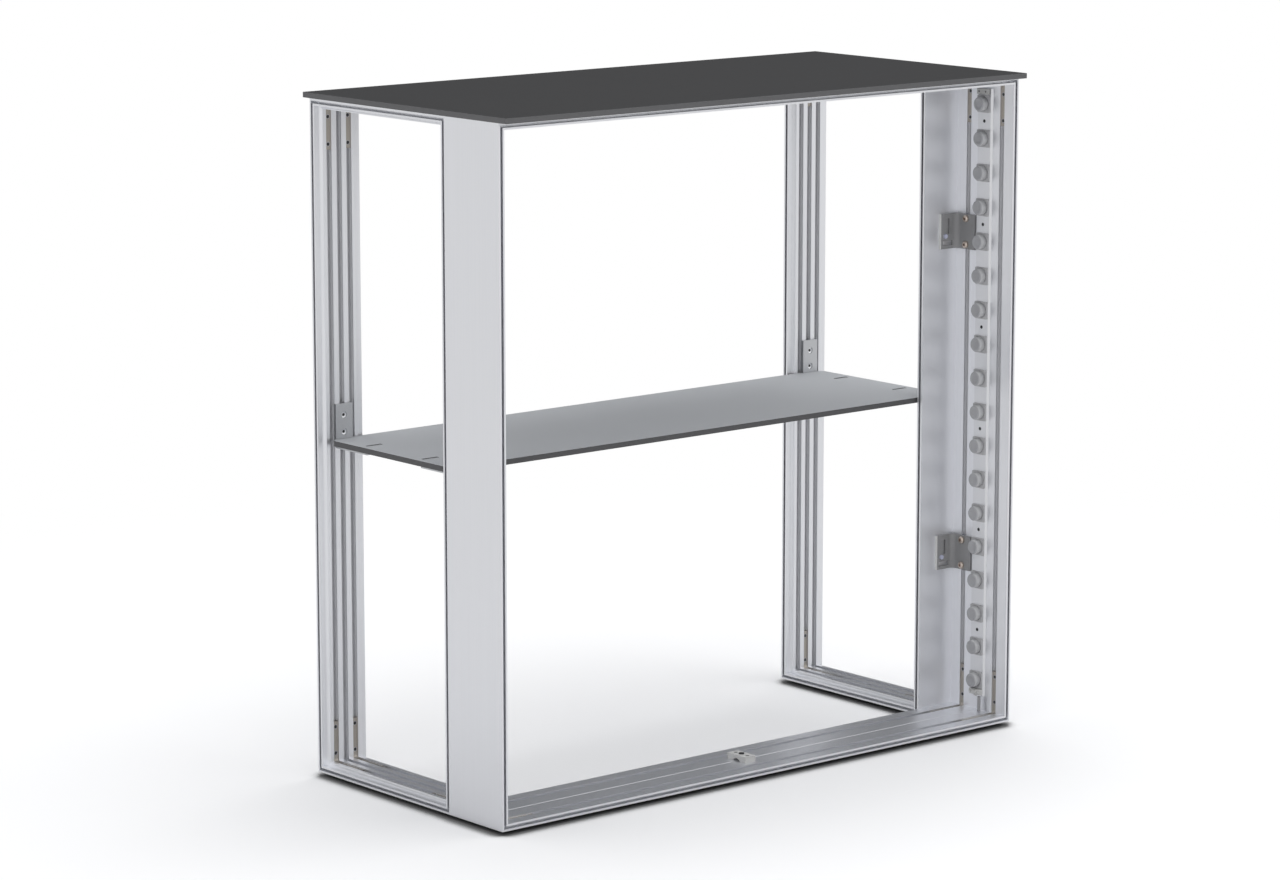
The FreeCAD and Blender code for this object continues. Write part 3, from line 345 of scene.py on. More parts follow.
def math_node(tree, operation, first, second):
    """A math node fed by sockets or plain numbers."""
    node = tree.nodes.new("ShaderNodeMath")
    node.operation = operation
    for socket, source in zip(node.inputs, (first, second)):
        if isinstance(source, (int, float)):
            socket.default_value = source
        else:
            tree.links.new(source, socket)
    return node.outputs[0]


def shaded_by(tree, colour, light):
    """A colour multiplied by a value."""
    grey = tree.nodes.new("ShaderNodeCombineColor")
    for socket in grey.inputs[:3]:
        tree.links.new(light, socket)
    factor, first, second, shaded = mixed(tree, "MULTIPLY")
    factor.default_value = 1
    tree.links.new(colour, first)
    tree.links.new(grey.outputs[0], second)
    return shaded


def drawn_surface_group():
    """Fine lines along a drawn or brushed surface."""
    found = bpy.data.node_groups.get("drawn_surface")
    if found:
        return found
    group, given, result = group_with(
        "drawn_surface",
        (("Colour", "NodeSocketColor"), ("Stretch", "NodeSocketVector"),
         ("Roughness", "NodeSocketFloat"), ("Depth", "NodeSocketFloat")),
        (("Colour", "NodeSocketColor"), ("Roughness", "NodeSocketFloat"), ("Height", "NodeSocketFloat")),
    )
    place = group.nodes.new("ShaderNodeTexCoord")
    stretch = group.nodes.new("ShaderNodeVectorMath")
    stretch.operation = "MULTIPLY"
    group.links.new(place.outputs["Object"], stretch.inputs[0])
    group.links.new(given.outputs["Stretch"], stretch.inputs[1])
    lines = group.nodes.new("ShaderNodeTexNoise")
    lines.inputs["Scale"].default_value = 1
    lines.inputs["Detail"].default_value = LINE_DETAIL
    group.links.new(stretch.outputs[0], lines.inputs["Vector"])
    tone = math_node(group, "MULTIPLY", lines.outputs["Fac"], given.outputs["Depth"])
    light = math_node(group, "SUBTRACT", 1.0, tone)
    group.links.new(shaded_by(group, given.outputs["Colour"], light), result.inputs["Colour"])
    rough = math_node(group, "ADD", given.outputs["Roughness"], tone)
    group.links.new(rough, result.inputs["Roughness"])
    group.links.new(lines.outputs["Fac"], result.inputs["Height"])
    return group


def slot_shade_group():
    """A mask of where shade is painted inside the T-slots, below an extrusion's inner face and between its
    outermost slots.
    """
    found = bpy.data.node_groups.get("slot_shade")
    if found:
        return found
    group, given, result = group_with(
        "slot_shade",
        (("Inward", "NodeSocketVector"), ("Face", "NodeSocketFloat"), ("Side", "NodeSocketVector"),
         ("Middle", "NodeSocketFloat"), ("Reach", "NodeSocketFloat")),
        (("Mask", "NodeSocketFloat"),),
    )
    place = group.nodes.new("ShaderNodeTexCoord")
    along = []
    for label in ("Inward", "Side"):
        dot = group.nodes.new("ShaderNodeVectorMath")
        dot.operation = "DOT_PRODUCT"
        group.links.new(place.outputs["Object"], dot.inputs[0])
        group.links.new(given.outputs[label], dot.inputs[1])
        along.append(dot.outputs["Value"])
    depth = math_node(group, "SUBTRACT", along[0], given.outputs["Face"])
    deeper = group.nodes.new("ShaderNodeMapRange")
    deeper.interpolation_type = "SMOOTHSTEP"
    deeper.inputs["From Min"].default_value = SLOT_SHADE_START
    deeper.inputs["From Max"].default_value = SLOT_SHADE_FULL
    group.links.new(depth, deeper.inputs["Value"])
    shallow = math_node(group, "LESS_THAN", depth, SLOT_SHADE_END)
    offset = math_node(group, "SUBTRACT", along[1], given.outputs["Middle"])
    between = math_node(group, "LESS_THAN", math_node(group, "ABSOLUTE", offset, 0), given.outputs["Reach"])
    inside = math_node(group, "MULTIPLY", shallow, between)
    group.links.new(math_node(group, "MULTIPLY", deeper.outputs["Result"], inside), result.inputs["Mask"])
    return group


def fine_grain_group():
    """A fine even grain for laminate, coatings and moulded plastic."""
    found = bpy.data.node_groups.get("fine_grain")
    if found:
        return found
    group, given, result = group_with(
        "fine_grain",
        (("Colour", "NodeSocketColor"), ("Scale", "NodeSocketFloat"),
         ("Roughness", "NodeSocketFloat"), ("Depth", "NodeSocketFloat")),
        (("Colour", "NodeSocketColor"), ("Roughness", "NodeSocketFloat"), ("Height", "NodeSocketFloat")),
    )
    place = group.nodes.new("ShaderNodeTexCoord")
    grain = group.nodes.new("ShaderNodeTexNoise")
    grain.inputs["Detail"].default_value = GRAIN_DETAIL
    group.links.new(place.outputs["Object"], grain.inputs["Vector"])
    group.links.new(given.outputs["Scale"], grain.inputs["Scale"])
    cloud = group.nodes.new("ShaderNodeTexNoise")
    cloud.inputs["Scale"].default_value = CLOUD_SPOTS
    group.links.new(place.outputs["Object"], cloud.inputs["Vector"])
    both = math_node(group, "ADD", grain.outputs["Fac"], cloud.outputs["Fac"])
    swing = math_node(group, "SUBTRACT", both, 1.0)
    tone = math_node(group, "MULTIPLY", swing, given.outputs["Depth"])
    light = math_node(group, "ADD", tone, 1.0)
    group.links.new(shaded_by(group, given.outputs["Colour"], light), result.inputs["Colour"])
    rough = math_node(group, "ADD", given.outputs["Roughness"], tone)
    group.links.new(rough, result.inputs["Roughness"])
    group.links.new(grain.outputs["Fac"], result.inputs["Height"])
    return group


# Materials
def new_material(name):
    """A new material with its node tree and shader."""
    material = bpy.data.materials.new(name)
    material.use_nodes = True
    shader = material.node_tree.nodes["Principled BSDF"]
    return material, material.node_tree, shader


def with_effect(tree, shader, group, values, relief):
    """Feed the shader from an effect's outputs, and its height into a bump."""
    effect = tree.nodes.new("ShaderNodeGroup")
    effect.node_tree = group
    for label, value in values.items():
        effect.inputs[label].default_value = value
    tree.links.new(effect.outputs["Colour"], shader.inputs["Base Color"])
    tree.links.new(effect.outputs["Roughness"], shader.inputs["Roughness"])
    node = tree.nodes.new("ShaderNodeBump")
    node.inputs["Strength"].default_value = relief
    node.inputs["Distance"].default_value = RELIEF_HEIGHT
    tree.links.new(effect.outputs["Height"], node.inputs["Height"])
    tree.links.new(node.outputs["Normal"], shader.inputs["Normal"])


def drawn_metal(name, colour, along):
    """Satin metal with fine lines along an axis."""
    found = bpy.data.materials.get(name)
    if found:
        return found
    material, tree, shader = new_material(name)
    across = 1 / detail().streak_width
    stretch = [across if axis != along else across * LENGTHWISE_SHARE for axis in range(3)]
    values = {"Colour": (*colour, 1), "Stretch": stretch, "Roughness": ROUGHNESS["drawn"],
              "Depth": DRAWN_DEPTH}
    with_effect(tree, shader, drawn_surface_group(), values, DRAWN_RELIEF)
    shader.inputs["Metallic"].default_value = 1
    return material


def extrusion_metal(node, frame_middle, slot_reach):
    """Satin metal drawn along an extrusion, with painted shade inside its slots."""
    low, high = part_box(node)
    size = high - low
    thin, side, along = sorted(range(3), key=lambda axis: size[axis])
    inward = Vector((0, 0, 0))
    inward[thin] = 1 if low[thin] > frame_middle[thin] else -1
    across = Vector((0, 0, 0))
    across[side] = 1
    material = drawn_metal(f"{node}_metal", finishes().extrusion, along)
    tree = material.node_tree
    shader = tree.nodes["Principled BSDF"]
    colour = shader.inputs["Base Color"].links[0].from_socket
    slot = tree.nodes.new("ShaderNodeGroup")
    slot.node_tree = slot_shade_group()
    slot.inputs["Inward"].default_value = inward
    slot.inputs["Face"].default_value = low[thin] if inward[thin] > 0 else -high[thin]
    slot.inputs["Side"].default_value = across
    slot.inputs["Middle"].default_value = (low[side] + high[side]) / 2
    slot.inputs["Reach"].default_value = slot_reach
    # Painted shade: the mask swaps the metal's colour for the darker slot tone
    factor, first, second, shaded = mixed(tree)
    tree.links.new(slot.outputs["Mask"], factor)
    tree.links.new(colour, first)
    second.default_value = (*finishes().slot_painted_shade, 1)
    tree.links.new(shaded, shader.inputs["Base Color"])
    return material


def plated_metal(name, colour, roughness=ROUGHNESS["zinc"]):
    """Plated metal with a fine uneven tone."""
    found = bpy.data.materials.get(name)
    if found:
        return found
    material, tree, shader = new_material(name)
    values = {"Colour": (*colour, 1), "Scale": PLATING_SPOTS, "Roughness": roughness,
              "Depth": PLATING_DEPTH}
    with_effect(tree, shader, fine_grain_group(), values, PLATING_RELIEF)
    shader.inputs["Metallic"].default_value = 1
    return material


def grained(name, colour, roughness, depth=GRAIN_DEPTH, gloss=PLASTIC_GLOSS):
    """Laminate, coated metal, rubber or moulded plastic with a fine grain."""
    found = bpy.data.materials.get(name)
    if found:
        return found
    material, tree, shader = new_material(name)
    scale = 1 / detail().grain_size
    values = {"Colour": (*colour, 1), "Scale": scale, "Roughness": roughness, "Depth": depth}
    with_effect(tree, shader, fine_grain_group(), values, GRAIN_RELIEF)
    shader.inputs["Specular IOR Level"].default_value = gloss
    return material


def two_toned(name, face, edge, gloss, axis):
    """One tone on the faces that look along an axis, another on every edge."""
    found = bpy.data.materials.get(name)
    if found:
        return found
    material = grained(name, face, ROUGHNESS["laminate"], LAMINATE_DEPTH, gloss)
    tree = material.node_tree
    shader = tree.nodes["Principled BSDF"]
    effect = shader.inputs["Base Color"].links[0].from_node
    place = tree.nodes.new("ShaderNodeTexCoord")
    parts = tree.nodes.new("ShaderNodeSeparateXYZ")
    tree.links.new(place.outputs["Normal"], parts.inputs[0])
    facing = math_node(tree, "ABSOLUTE", parts.outputs[axis], 0)
    is_face = math_node(tree, "GREATER_THAN", facing, FACE_SLOPE)
    factor, first, second, colour = mixed(tree)
    tree.links.new(is_face, factor)
    first.default_value = (*edge, 1)
    tree.links.new(effect.outputs["Colour"], second)
    tree.links.new(colour, shader.inputs["Base Color"])
    return material


def zinc_plating():
    """Zinc of the small screws and nuts."""
    return plated_metal("zinc_plating", finishes().zinc)


def dark_steel():
    """Blackened steel of the smallest screws."""
    return plated_metal("dark_steel", finishes().dark_steel, ROUGHNESS["dark_steel"])


def socket_shadow():
    """Painted shade: near-black inside a screw's socket."""
    return grained("socket_shadow", finishes().socket_painted_shade, ROUGHNESS["socket"])


def paint(node, material):
    """Give a carried-over node its finish."""
    slots = NODES[node].data.materials
    slots.clear()
    slots.append(material)


# Mesh helpers
def piece_from(bm, name, materials, body, slot, *replaced):
    """Finish a bmesh as a piece that rides on a body and stands for CAD nodes."""
    mesh = bpy.data.meshes.new(name)
    bm.to_mesh(mesh)
    bm.free()
    for material in materials:
        mesh.materials.append(material)
    piece = bpy.data.objects.new(name, mesh)
    bpy.context.scene.collection.objects.link(piece)
    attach(piece, body)
    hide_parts(*replaced)
    return piece


def merged_copy(node):
    """A node's mesh with its loose triangles joined."""
    bm = bmesh.new()
    bm.from_mesh(NODES[node].data)
    bmesh.ops.remove_doubles(bm, verts=bm.verts, dist=MERGE_DISTANCE)
    return bm


def solids_of(node):
    """Corner points of each separate solid in a node."""
    bm = merged_copy(node)
    waiting = set(bm.verts)
    solids = []
    while waiting:
        front = [waiting.pop()]
        island = []
        while front:
            vertex = front.pop()
            island.append(vertex.co.copy())
            for edge in vertex.link_edges:
                other = edge.other_vert(vertex)
                if other in waiting:
                    waiting.remove(other)
                    front.append(other)
        solids.append(island)
    bm.free()
    return solids


def box_of(spots):
    """Lowest and highest corner about some points."""
    low = Vector([min(spot[axis] for spot in spots) for axis in range(3)])
    high = Vector([max(spot[axis] for spot in spots) for axis in range(3)])
    return low, high


def planar_copy(node):
    """A node's mesh with one face for each flat side."""
    bm = merged_copy(node)
    bmesh.ops.dissolve_limit(
        bm, angle_limit=FLAT_ANGLE, verts=bm.verts, edges=bm.edges, delimit={"NORMAL"}
    )
    return bm


def arris_copy(node, name, material, body, slot, width):
    """A copy of a node whose sharp edges are rounded by a live bevel."""
    piece = piece_from(planar_copy(node), name, [material], body, slot, node)
    bevel = piece.modifiers.new("arris", "BEVEL")
    bevel.width = width
    bevel.segments = ARRIS_STEPS
    bevel.limit_method = "ANGLE"
    bevel.angle_limit = ARRIS_ANGLE
    bevel.harden_normals = False
    return piece


def turned_to(direction, place):
    """A matrix that sends +Z to a direction and the origin to a place."""
    return Matrix.Translation(place) @ Z_AXIS.rotation_difference(direction).to_matrix().to_4x4()


def round_edges(bm, edges, offset, steps):
    """Round some edges of a form."""
    bmesh.ops.bevel(bm, geom=list(edges), offset=offset, offset_type="OFFSET", segments=steps,
                    profile=0.5, affect="EDGES", material=-1)


def hexagon_socket(bm, face, radius, depth):
    """Sink a hexagon socket into a round cap, its inside taking the second material, painted shade."""
    bmesh.ops.inset_individual(bm, faces=[face], thickness=SOCKET_RIM_SHARE * radius)
    centre = face.calc_center_median()
    sixth = FULL_TURN / HEXAGON
    for vertex in face.verts:
        spoke = vertex.co - centre
        angle = math.atan2(spoke.y, spoke.x) % sixth - sixth / 2
        reach = radius * math.cos(sixth / 2) / math.cos(angle)
        vertex.co = centre + spoke.normalized() * reach
    before = set(bm.faces)
    sunk = bmesh.ops.extrude_discrete_faces(bm, faces=[face])["faces"][0]
    bmesh.ops.translate(bm, verts=sunk.verts, vec=(0, 0, -depth))
    for side in set(bm.faces) - before:
        side.material_index = 1
    sunk.material_index = 1


def turned_rod(radius, low, high):
    """A closed round rod along +Z."""
    bm = bmesh.new()
    bmesh.ops.create_cone(bm, cap_ends=True, segments=ROD_SIDES, radius1=radius, radius2=radius,
                          depth=high - low)
    bmesh.ops.translate(bm, verts=bm.verts, vec=(0, 0, (low + high) / 2))
    return bm


def top_of(bm):
    """The face that lies highest along +Z."""
    return max(bm.faces, key=lambda face: face.calc_center_median().z)


def domed(head, radius, height):
    """Round a head's top over and sink its socket."""
    small = detail()
    round_edges(head, top_of(head).edges, min(height, radius / 2) * small.dome_share, DOME_STEPS)
    hexagon_socket(head, top_of(head), radius * small.socket_share, min(small.socket_depth, height))


def dished(head, radius, height):
    """Hollow a head's top towards its socket."""
    small = detail()
    cap = top_of(head)
    sink = height * small.dish_share
    bmesh.ops.inset_individual(head, faces=[cap], thickness=radius * small.dish_share, depth=-sink)
    hexagon_socket(head, cap, radius * small.sunk_socket_share, min(small.socket_depth, height - sink) / 2)


def screw_form(spots, axis, shape_head):
    """A screw with a shaped head, and its shank, in place of a plain CAD screw."""
    levels = sorted({round(spot[axis], LEVEL_DIGITS) for spot in spots})
    widths = {}
    for level in levels:
        ring = [spot for spot in spots if abs(spot[axis] - level) < MERGE_DISTANCE]
        low, high = box_of(ring)
        widths[level] = max(high - low) / 2
    forward = 1 if widths[levels[-1]] > widths[levels[0]] else -1
    ends = levels if forward > 0 else levels[::-1]
    tip, seat, crown = ends[0], ends[1], ends[-1]
    radius = widths[crown]
    height = abs(crown - seat)
    head = turned_rod(radius, 0, height)
    shape_head(head, radius, height)
    bmesh.ops.recalc_face_normals(head, faces=head.faces)
    add_copies(head, turned_rod(widths[tip], -abs(seat - tip), 0), [IN_PLACE])
    low, high = box_of(spots)
    place = (low + high) / 2
    place[axis] = seat
    direction = Vector((0, 0, 0))
    direction[axis] = forward
    return head, turned_to(direction, place)


def dress_screws(node, axis, name, materials, body, slot, shape_head):
    """Put shaped heads with sockets in place of all screws of a node."""
    bm = bmesh.new()
    for spots in solids_of(node):
        form, matrix = screw_form(spots, axis, shape_head)
        add_copies(bm, form, [matrix])
    piece_from(bm, name, materials, body, slot, node)


def add_copies(target, source, matrices):
    """Put turned copies of one bmesh into another, and free the first."""
    mesh = bpy.data.meshes.new("copied_form")
    source.to_mesh(mesh)
    source.free()
    for matrix in matrices:
        before = set(target.verts)
        target.from_mesh(mesh)
        bmesh.ops.transform(target, matrix=matrix, verts=[v for v in target.verts if v not in before])
    bpy.data.meshes.remove(mesh)


def box_form(low, high):
    """A plain box between two corners."""
    bm = bmesh.new()
    bmesh.ops.create_cube(bm, size=1)
    bmesh.ops.scale(bm, vec=high - low, verts=bm.verts)
    bmesh.ops.translate(bm, vec=(low + high) / 2, verts=bm.verts)
    return bm


def rounded_block(low, high, rounding):
    """A box with all its edges rounded."""
    bm = box_form(low, high)
    round_edges(bm, bm.edges, rounding, ROUND_STEPS)
    return bm


def flat_sheet(name, reach, material):
    """A square sheet that lies flat, from its middle to its edges."""
    bm = bmesh.new()
    bmesh.ops.create_grid(bm, x_segments=1, y_segments=1, size=reach)
    mesh = bpy.data.meshes.new(name)
    bm.to_mesh(mesh)
    bm.free()
    mesh.materials.append(material)
    sheet = bpy.data.objects.new(name, mesh)
    bpy.context.scene.collection.objects.link(sheet)
    return sheet


# Frames
class COUNTER_OT_extrusions(bpy.types.Operator):
    """Finish the twelve mitred extrusions in satin anodised aluminium"""

    bl_idname = "counter.extrusions"
    bl_label = "Extrusions"

    def execute(self, context):
        small = detail()
        for group in FRAMES:
            reach = small.light_slot_reach if group == "light_box" else small.end_slot_reach
            members = [
                node for node in NODES if node.startswith(group) and node.endswith(("rail", "upright"))
            ]
            low, high = box_of([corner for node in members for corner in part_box(node)])
            for node in members:
                paint(node, extrusion_metal(node, (low + high) / 2, 0 if "bottom" in node else reach))
        return {"FINISHED"}


class COUNTER_OT_corner_bars(bpy.types.Operator):
    """Finish the corner bars in the slots and paint a socket of painted shade on their grub screws"""

    bl_idname = "counter.corner_bars"
    bl_label = "Corner bars"

    def execute(self, context):
        bar = plated_metal("corner_bar", finishes().connector, ROUGHNESS["corner_bar"])
        grub = [zinc_plating(), socket_shadow()]
        for group in FRAMES:
            paint(f"{group}_corner_connectors", bar)
            self.grub_screws(group, grub)
        return {"FINISHED"}

    def grub_screws(self, group, materials):
        """Grub screws with a pale ring about a flat hexagon of painted shade, standing for the socket, in
        each end.
        """
        node = f"{group}_grub_screws"
        bm = planar_copy(node)
        ends = [face for face in bm.faces if len(face.verts) == HEXAGON]
        bmesh.ops.inset_individual(bm, faces=ends, thickness=detail().grub_ring)
        # Painted shade: the hexagon inside the ring takes the near-black socket tone, with no recess cut
        for face in ends:
            face.material_index = 1
        piece_from(bm, f"{group}_ringed_screws", materials, COUNTER, "zinc_screw", node)


# Boards
class COUNTER_OT_boards(bpy.types.Operator):
    """Lay the dark counter board with softened edges, and the silver shelf"""

    bl_idname = "counter.boards"
    bl_label = "Boards"

    def execute(self, context):
        values = finishes()
        arris = detail().board_arris
        # The counter's edge tone is painted light; the shelf's dark edge is its laminate core
        dark = two_toned("counter_laminate", values.counter_face, values.counter_edge_painted_light, COUNTER_GLOSS, "Z")
        silver = two_toned("shelf_laminate", values.shelf_face, values.shelf_core, SHELF_GLOSS, "Z")
        arris_copy("counter_top_board", "counter_board", dark, COUNTER, "counter_board", arris)
        paint("shelf_board", silver)
        paint("counter_top_screws", plated_metal("board_screw", values.zinc))
        return {"FINISHED"}


# Brackets and supports
class COUNTER_OT_brackets(bpy.types.Operator):
    """Finish the dark angle plates and their screws"""

    bl_idname = "counter.brackets"
    bl_label = "Brackets"

    def execute(self, context):
        values = finishes()
        arris = detail().plate_arris
        plate = grained("bracket_coat", values.bracket, ROUGHNESS["bracket"], gloss=BRACKET_GLOSS)
        plate.node_tree.nodes["Principled BSDF"].inputs["Metallic"].default_value = BRACKET_METALLIC
        bare = grained("bare_edge_highlight", values.bare_edge_highlight, ROUGHNESS["bare_edge_highlight"])
        # Painted sheen: a pale non-metal copy of the zinc for the wall screws
        bright = grained("zinc_painted_sheen", values.wall_screw, ROUGHNESS["wall_screw"])
        for side in SIDES:
            inward = X_AXIS if side == "left" else -X_AXIS
            for level in ("lower", "upper"):
                node = f"{side}_{level}_join_bracket"
                piece = arris_copy(node, f"{side}_{level}_angle_plate", plate, COUNTER, "bracket", arris)
                piece.data.materials.append(bare)
                # One end face of each plate takes the pale tone: bare cut metal with a painted highlight
                cut_edge = max(piece.data.polygons, key=lambda face: face.center.dot(inward))
                cut_edge.material_index = 1
            paint(f"{side}_join_bracket_wall_screws", bright)
        # The second bronze is painted shade inside the heads' sockets
        bronze = [plated_metal("bronze_plating", values.bronze, ROUGHNESS["bronze"]),
                  plated_metal("bronze_socket_painted_shade", values.bronze_socket_painted_shade, ROUGHNESS["bronze_socket_painted_shade"])]
        dress_screws("join_bracket_slot_screws", X, "bracket_round_heads", bronze, COUNTER, "bronze_screw",
                     domed)
        paint("join_bracket_slot_nuts", zinc_plating())
        return {"FINISHED"}


class COUNTER_OT_shelf_supports(bpy.types.Operator):
    """Finish the four shelf supports, their screws and nuts"""

    bl_idname = "counter.shelf_supports"
    bl_label = "Shelf supports"

    def execute(self, context):
        values = finishes()
        plate = plated_metal("support_plate", values.support, ROUGHNESS["support"])
        for end in ENDS:
            for side in SIDES:
                paint(f"shelf_support_{end}_{side}", plate)
        finish = [plated_metal("bright_plating", values.extrusion), socket_shadow()]
        dress_screws("shelf_support_screws", Y, "support_screw_heads", finish, SHELF, "zinc_screw", dished)
        paint("shelf_support_nuts", zinc_plating())
        return {"FINISHED"}


# LED strips
class COUNTER_OT_led_strips(bpy.types.Operator):
    """Dress both LED strips: bars, carriers, ringed lenses, plugs, clips and leads"""

    bl_idname = "counter.led_strips"
    bl_label = "LED strips"

    def execute(self, context):
        values = finishes()
        small = detail()
        for side in SIDES:
            inward = X_AXIS if side == "left" else -X_AXIS
            paint(f"{side}_led_bar", drawn_metal("led_bar_metal", values.led_bar, Z))
            paint(f"{side}_led_bar_screws", dark_steel())
            self.carriers(side, values, small)
            self.lenses(side, inward, values, small)
            self.end_clip(side, inward, values, small)
            self.plug(side, inward, values, small)
            paint(f"{side}_led_lead", grained("lead_sheath", values.lead, ROUGHNESS["lead"]))
        return {"FINISHED"}

    def carriers(self, side, values, small):
        """Carriers with rounded corners, one under each lens."""
        bm = bmesh.new()
        for spots in solids_of(f"{side}_led_modules"):
            low, high = box_of(spots)
            thickness = high.x - low.x
            form = box_form(low, high)
            corners = [e for e in form.edges if abs((e.verts[0].co - e.verts[1].co).x) > thickness / 2]
            round_edges(form, corners, small.carrier_corner, ROUND_STEPS)
            add_copies(bm, form, [IN_PLACE])
        carrier = grained("led_carrier", values.carrier, ROUGHNESS["carrier"])
        piece_from(bm, f"{side}_carriers", [carrier], COUNTER, "led_module", f"{side}_led_modules")

    def lenses(self, side, inward, values, small):
        """Round lenses with a raised ring about a shallow dish."""
        # The lens's side takes painted light, paler than its front
        lens = two_toned("lens_moulding", values.lens, values.lens_side_painted_light, PLASTIC_GLOSS, "X")
        boxes = [box_of(spots) for spots in solids_of(f"{side}_led_lenses")]
        low, high = boxes[0]
        radius = (high.y - low.y) / 2
        height = high.x - low.x
        form = bmesh.new()
        bmesh.ops.create_cone(form, cap_ends=True, segments=LENS_SIDES, radius1=radius,
                              radius2=radius * LENS_TAPER, depth=height)
        bmesh.ops.translate(form, vec=(0, 0, height / 2), verts=form.verts)
        round_edges(form, top_of(form).edges, small.lens_ring, DOME_STEPS)
        top = top_of(form)
        bmesh.ops.inset_individual(form, faces=[top], thickness=small.lens_ring / 2)
        bmesh.ops.inset_individual(form, faces=[top], thickness=small.lens_ring)
        bmesh.ops.translate(form, vec=(0, 0, -small.lens_dish), verts=top.verts)
        for face in form.faces:
            face.smooth = len(face.verts) == QUAD
        matrices = []
        for low, high in boxes:
            seat_x = low.x if inward.x > 0 else high.x
            middle = (low + high) / 2
            matrices.append(turned_to(inward, Vector((seat_x, middle.y, middle.z))))
        bm = bmesh.new()
        add_copies(bm, form, matrices)
        piece_from(bm, f"{side}_lenses", [lens], COUNTER, "led_lens", f"{side}_led_lenses")

    def end_clip(self, side, inward, values, small):
        """A rounded clip with two dark screws in its front."""
        low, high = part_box(f"{side}_led_end_clip")
        middle = (low + high) / 2
        size = high - low
        bm = rounded_block(low, high, small.moulding_round)
        screw = turned_rod(small.clip_screw_radius, 0, small.clip_screw_rise)
        for face in screw.faces:
            face.material_index = 1
        front = high.x if inward.x > 0 else low.x
        spots = [Vector((front, middle.y + size.y * reach, middle.z)) for reach in END_CLIP_SCREW_SHARES]
        add_copies(bm, screw, [turned_to(inward, spot) for spot in spots])
        finish = [grained("pale_moulding", values.pale_plastic, ROUGHNESS["end_clip"]), socket_shadow()]
        piece_from(bm, f"{side}_end_clip", finish, COUNTER, "pale_plastic", f"{side}_led_end_clip")

    def plug(self, side, inward, values, small):
        """A plug housing with a raised latch and a collar round the lead."""
        low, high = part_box(f"{side}_led_plug")
        size = high - low
        bar_x = low.x if inward.x > 0 else high.x
        bm = bmesh.new()
        for start, end, low_shares, high_shares in PLUG_BLOCK_SHARES:
            near = Vector((bar_x + inward.x * size.x * start, low.y + size.y * low_shares[0],
                           low.z + size.z * low_shares[1]))
            far = Vector((bar_x + inward.x * size.x * end, low.y + size.y * high_shares[0],
                          low.z + size.z * high_shares[1]))
            block = rounded_block(*box_of([near, far]), small.plug_round)
            add_copies(bm, block, [IN_PLACE])
        plastic = grained("plug_moulding", values.plug, ROUGHNESS["plug"])
        piece_from(bm, f"{side}_plug_housing", [plastic], COUNTER, "pale_plastic", f"{side}_led_plug")


# Clip and glides
class COUNTER_OT_bridge_clip(bpy.types.Operator):
    """Finish the arched clip on the bottom rail and its screws"""

    bl_idname = "counter.bridge_clip"
    bl_label = "Bridge clip"

    def execute(self, context):
        paint("bridge_clip", grained("clip_moulding", finishes().clip, ROUGHNESS["bridge_clip"]))
        paint("bridge_clip_screws", dark_steel())
        paint("bridge_clip_centre_screw", dark_steel())
        return {"FINISHED"}


class COUNTER_OT_glides(bpy.types.Operator):
    """Finish the rubber glides under the frame"""

    bl_idname = "counter.glides"
    bl_label = "Glides"

    def execute(self, context):
        rubber = grained("glide_rubber", finishes().glide, ROUGHNESS["rubber"])
        for end in ENDS:
            for side in SIDES:
                paint(f"{end}_{side}_glide", rubber)
        return {"FINISHED"}


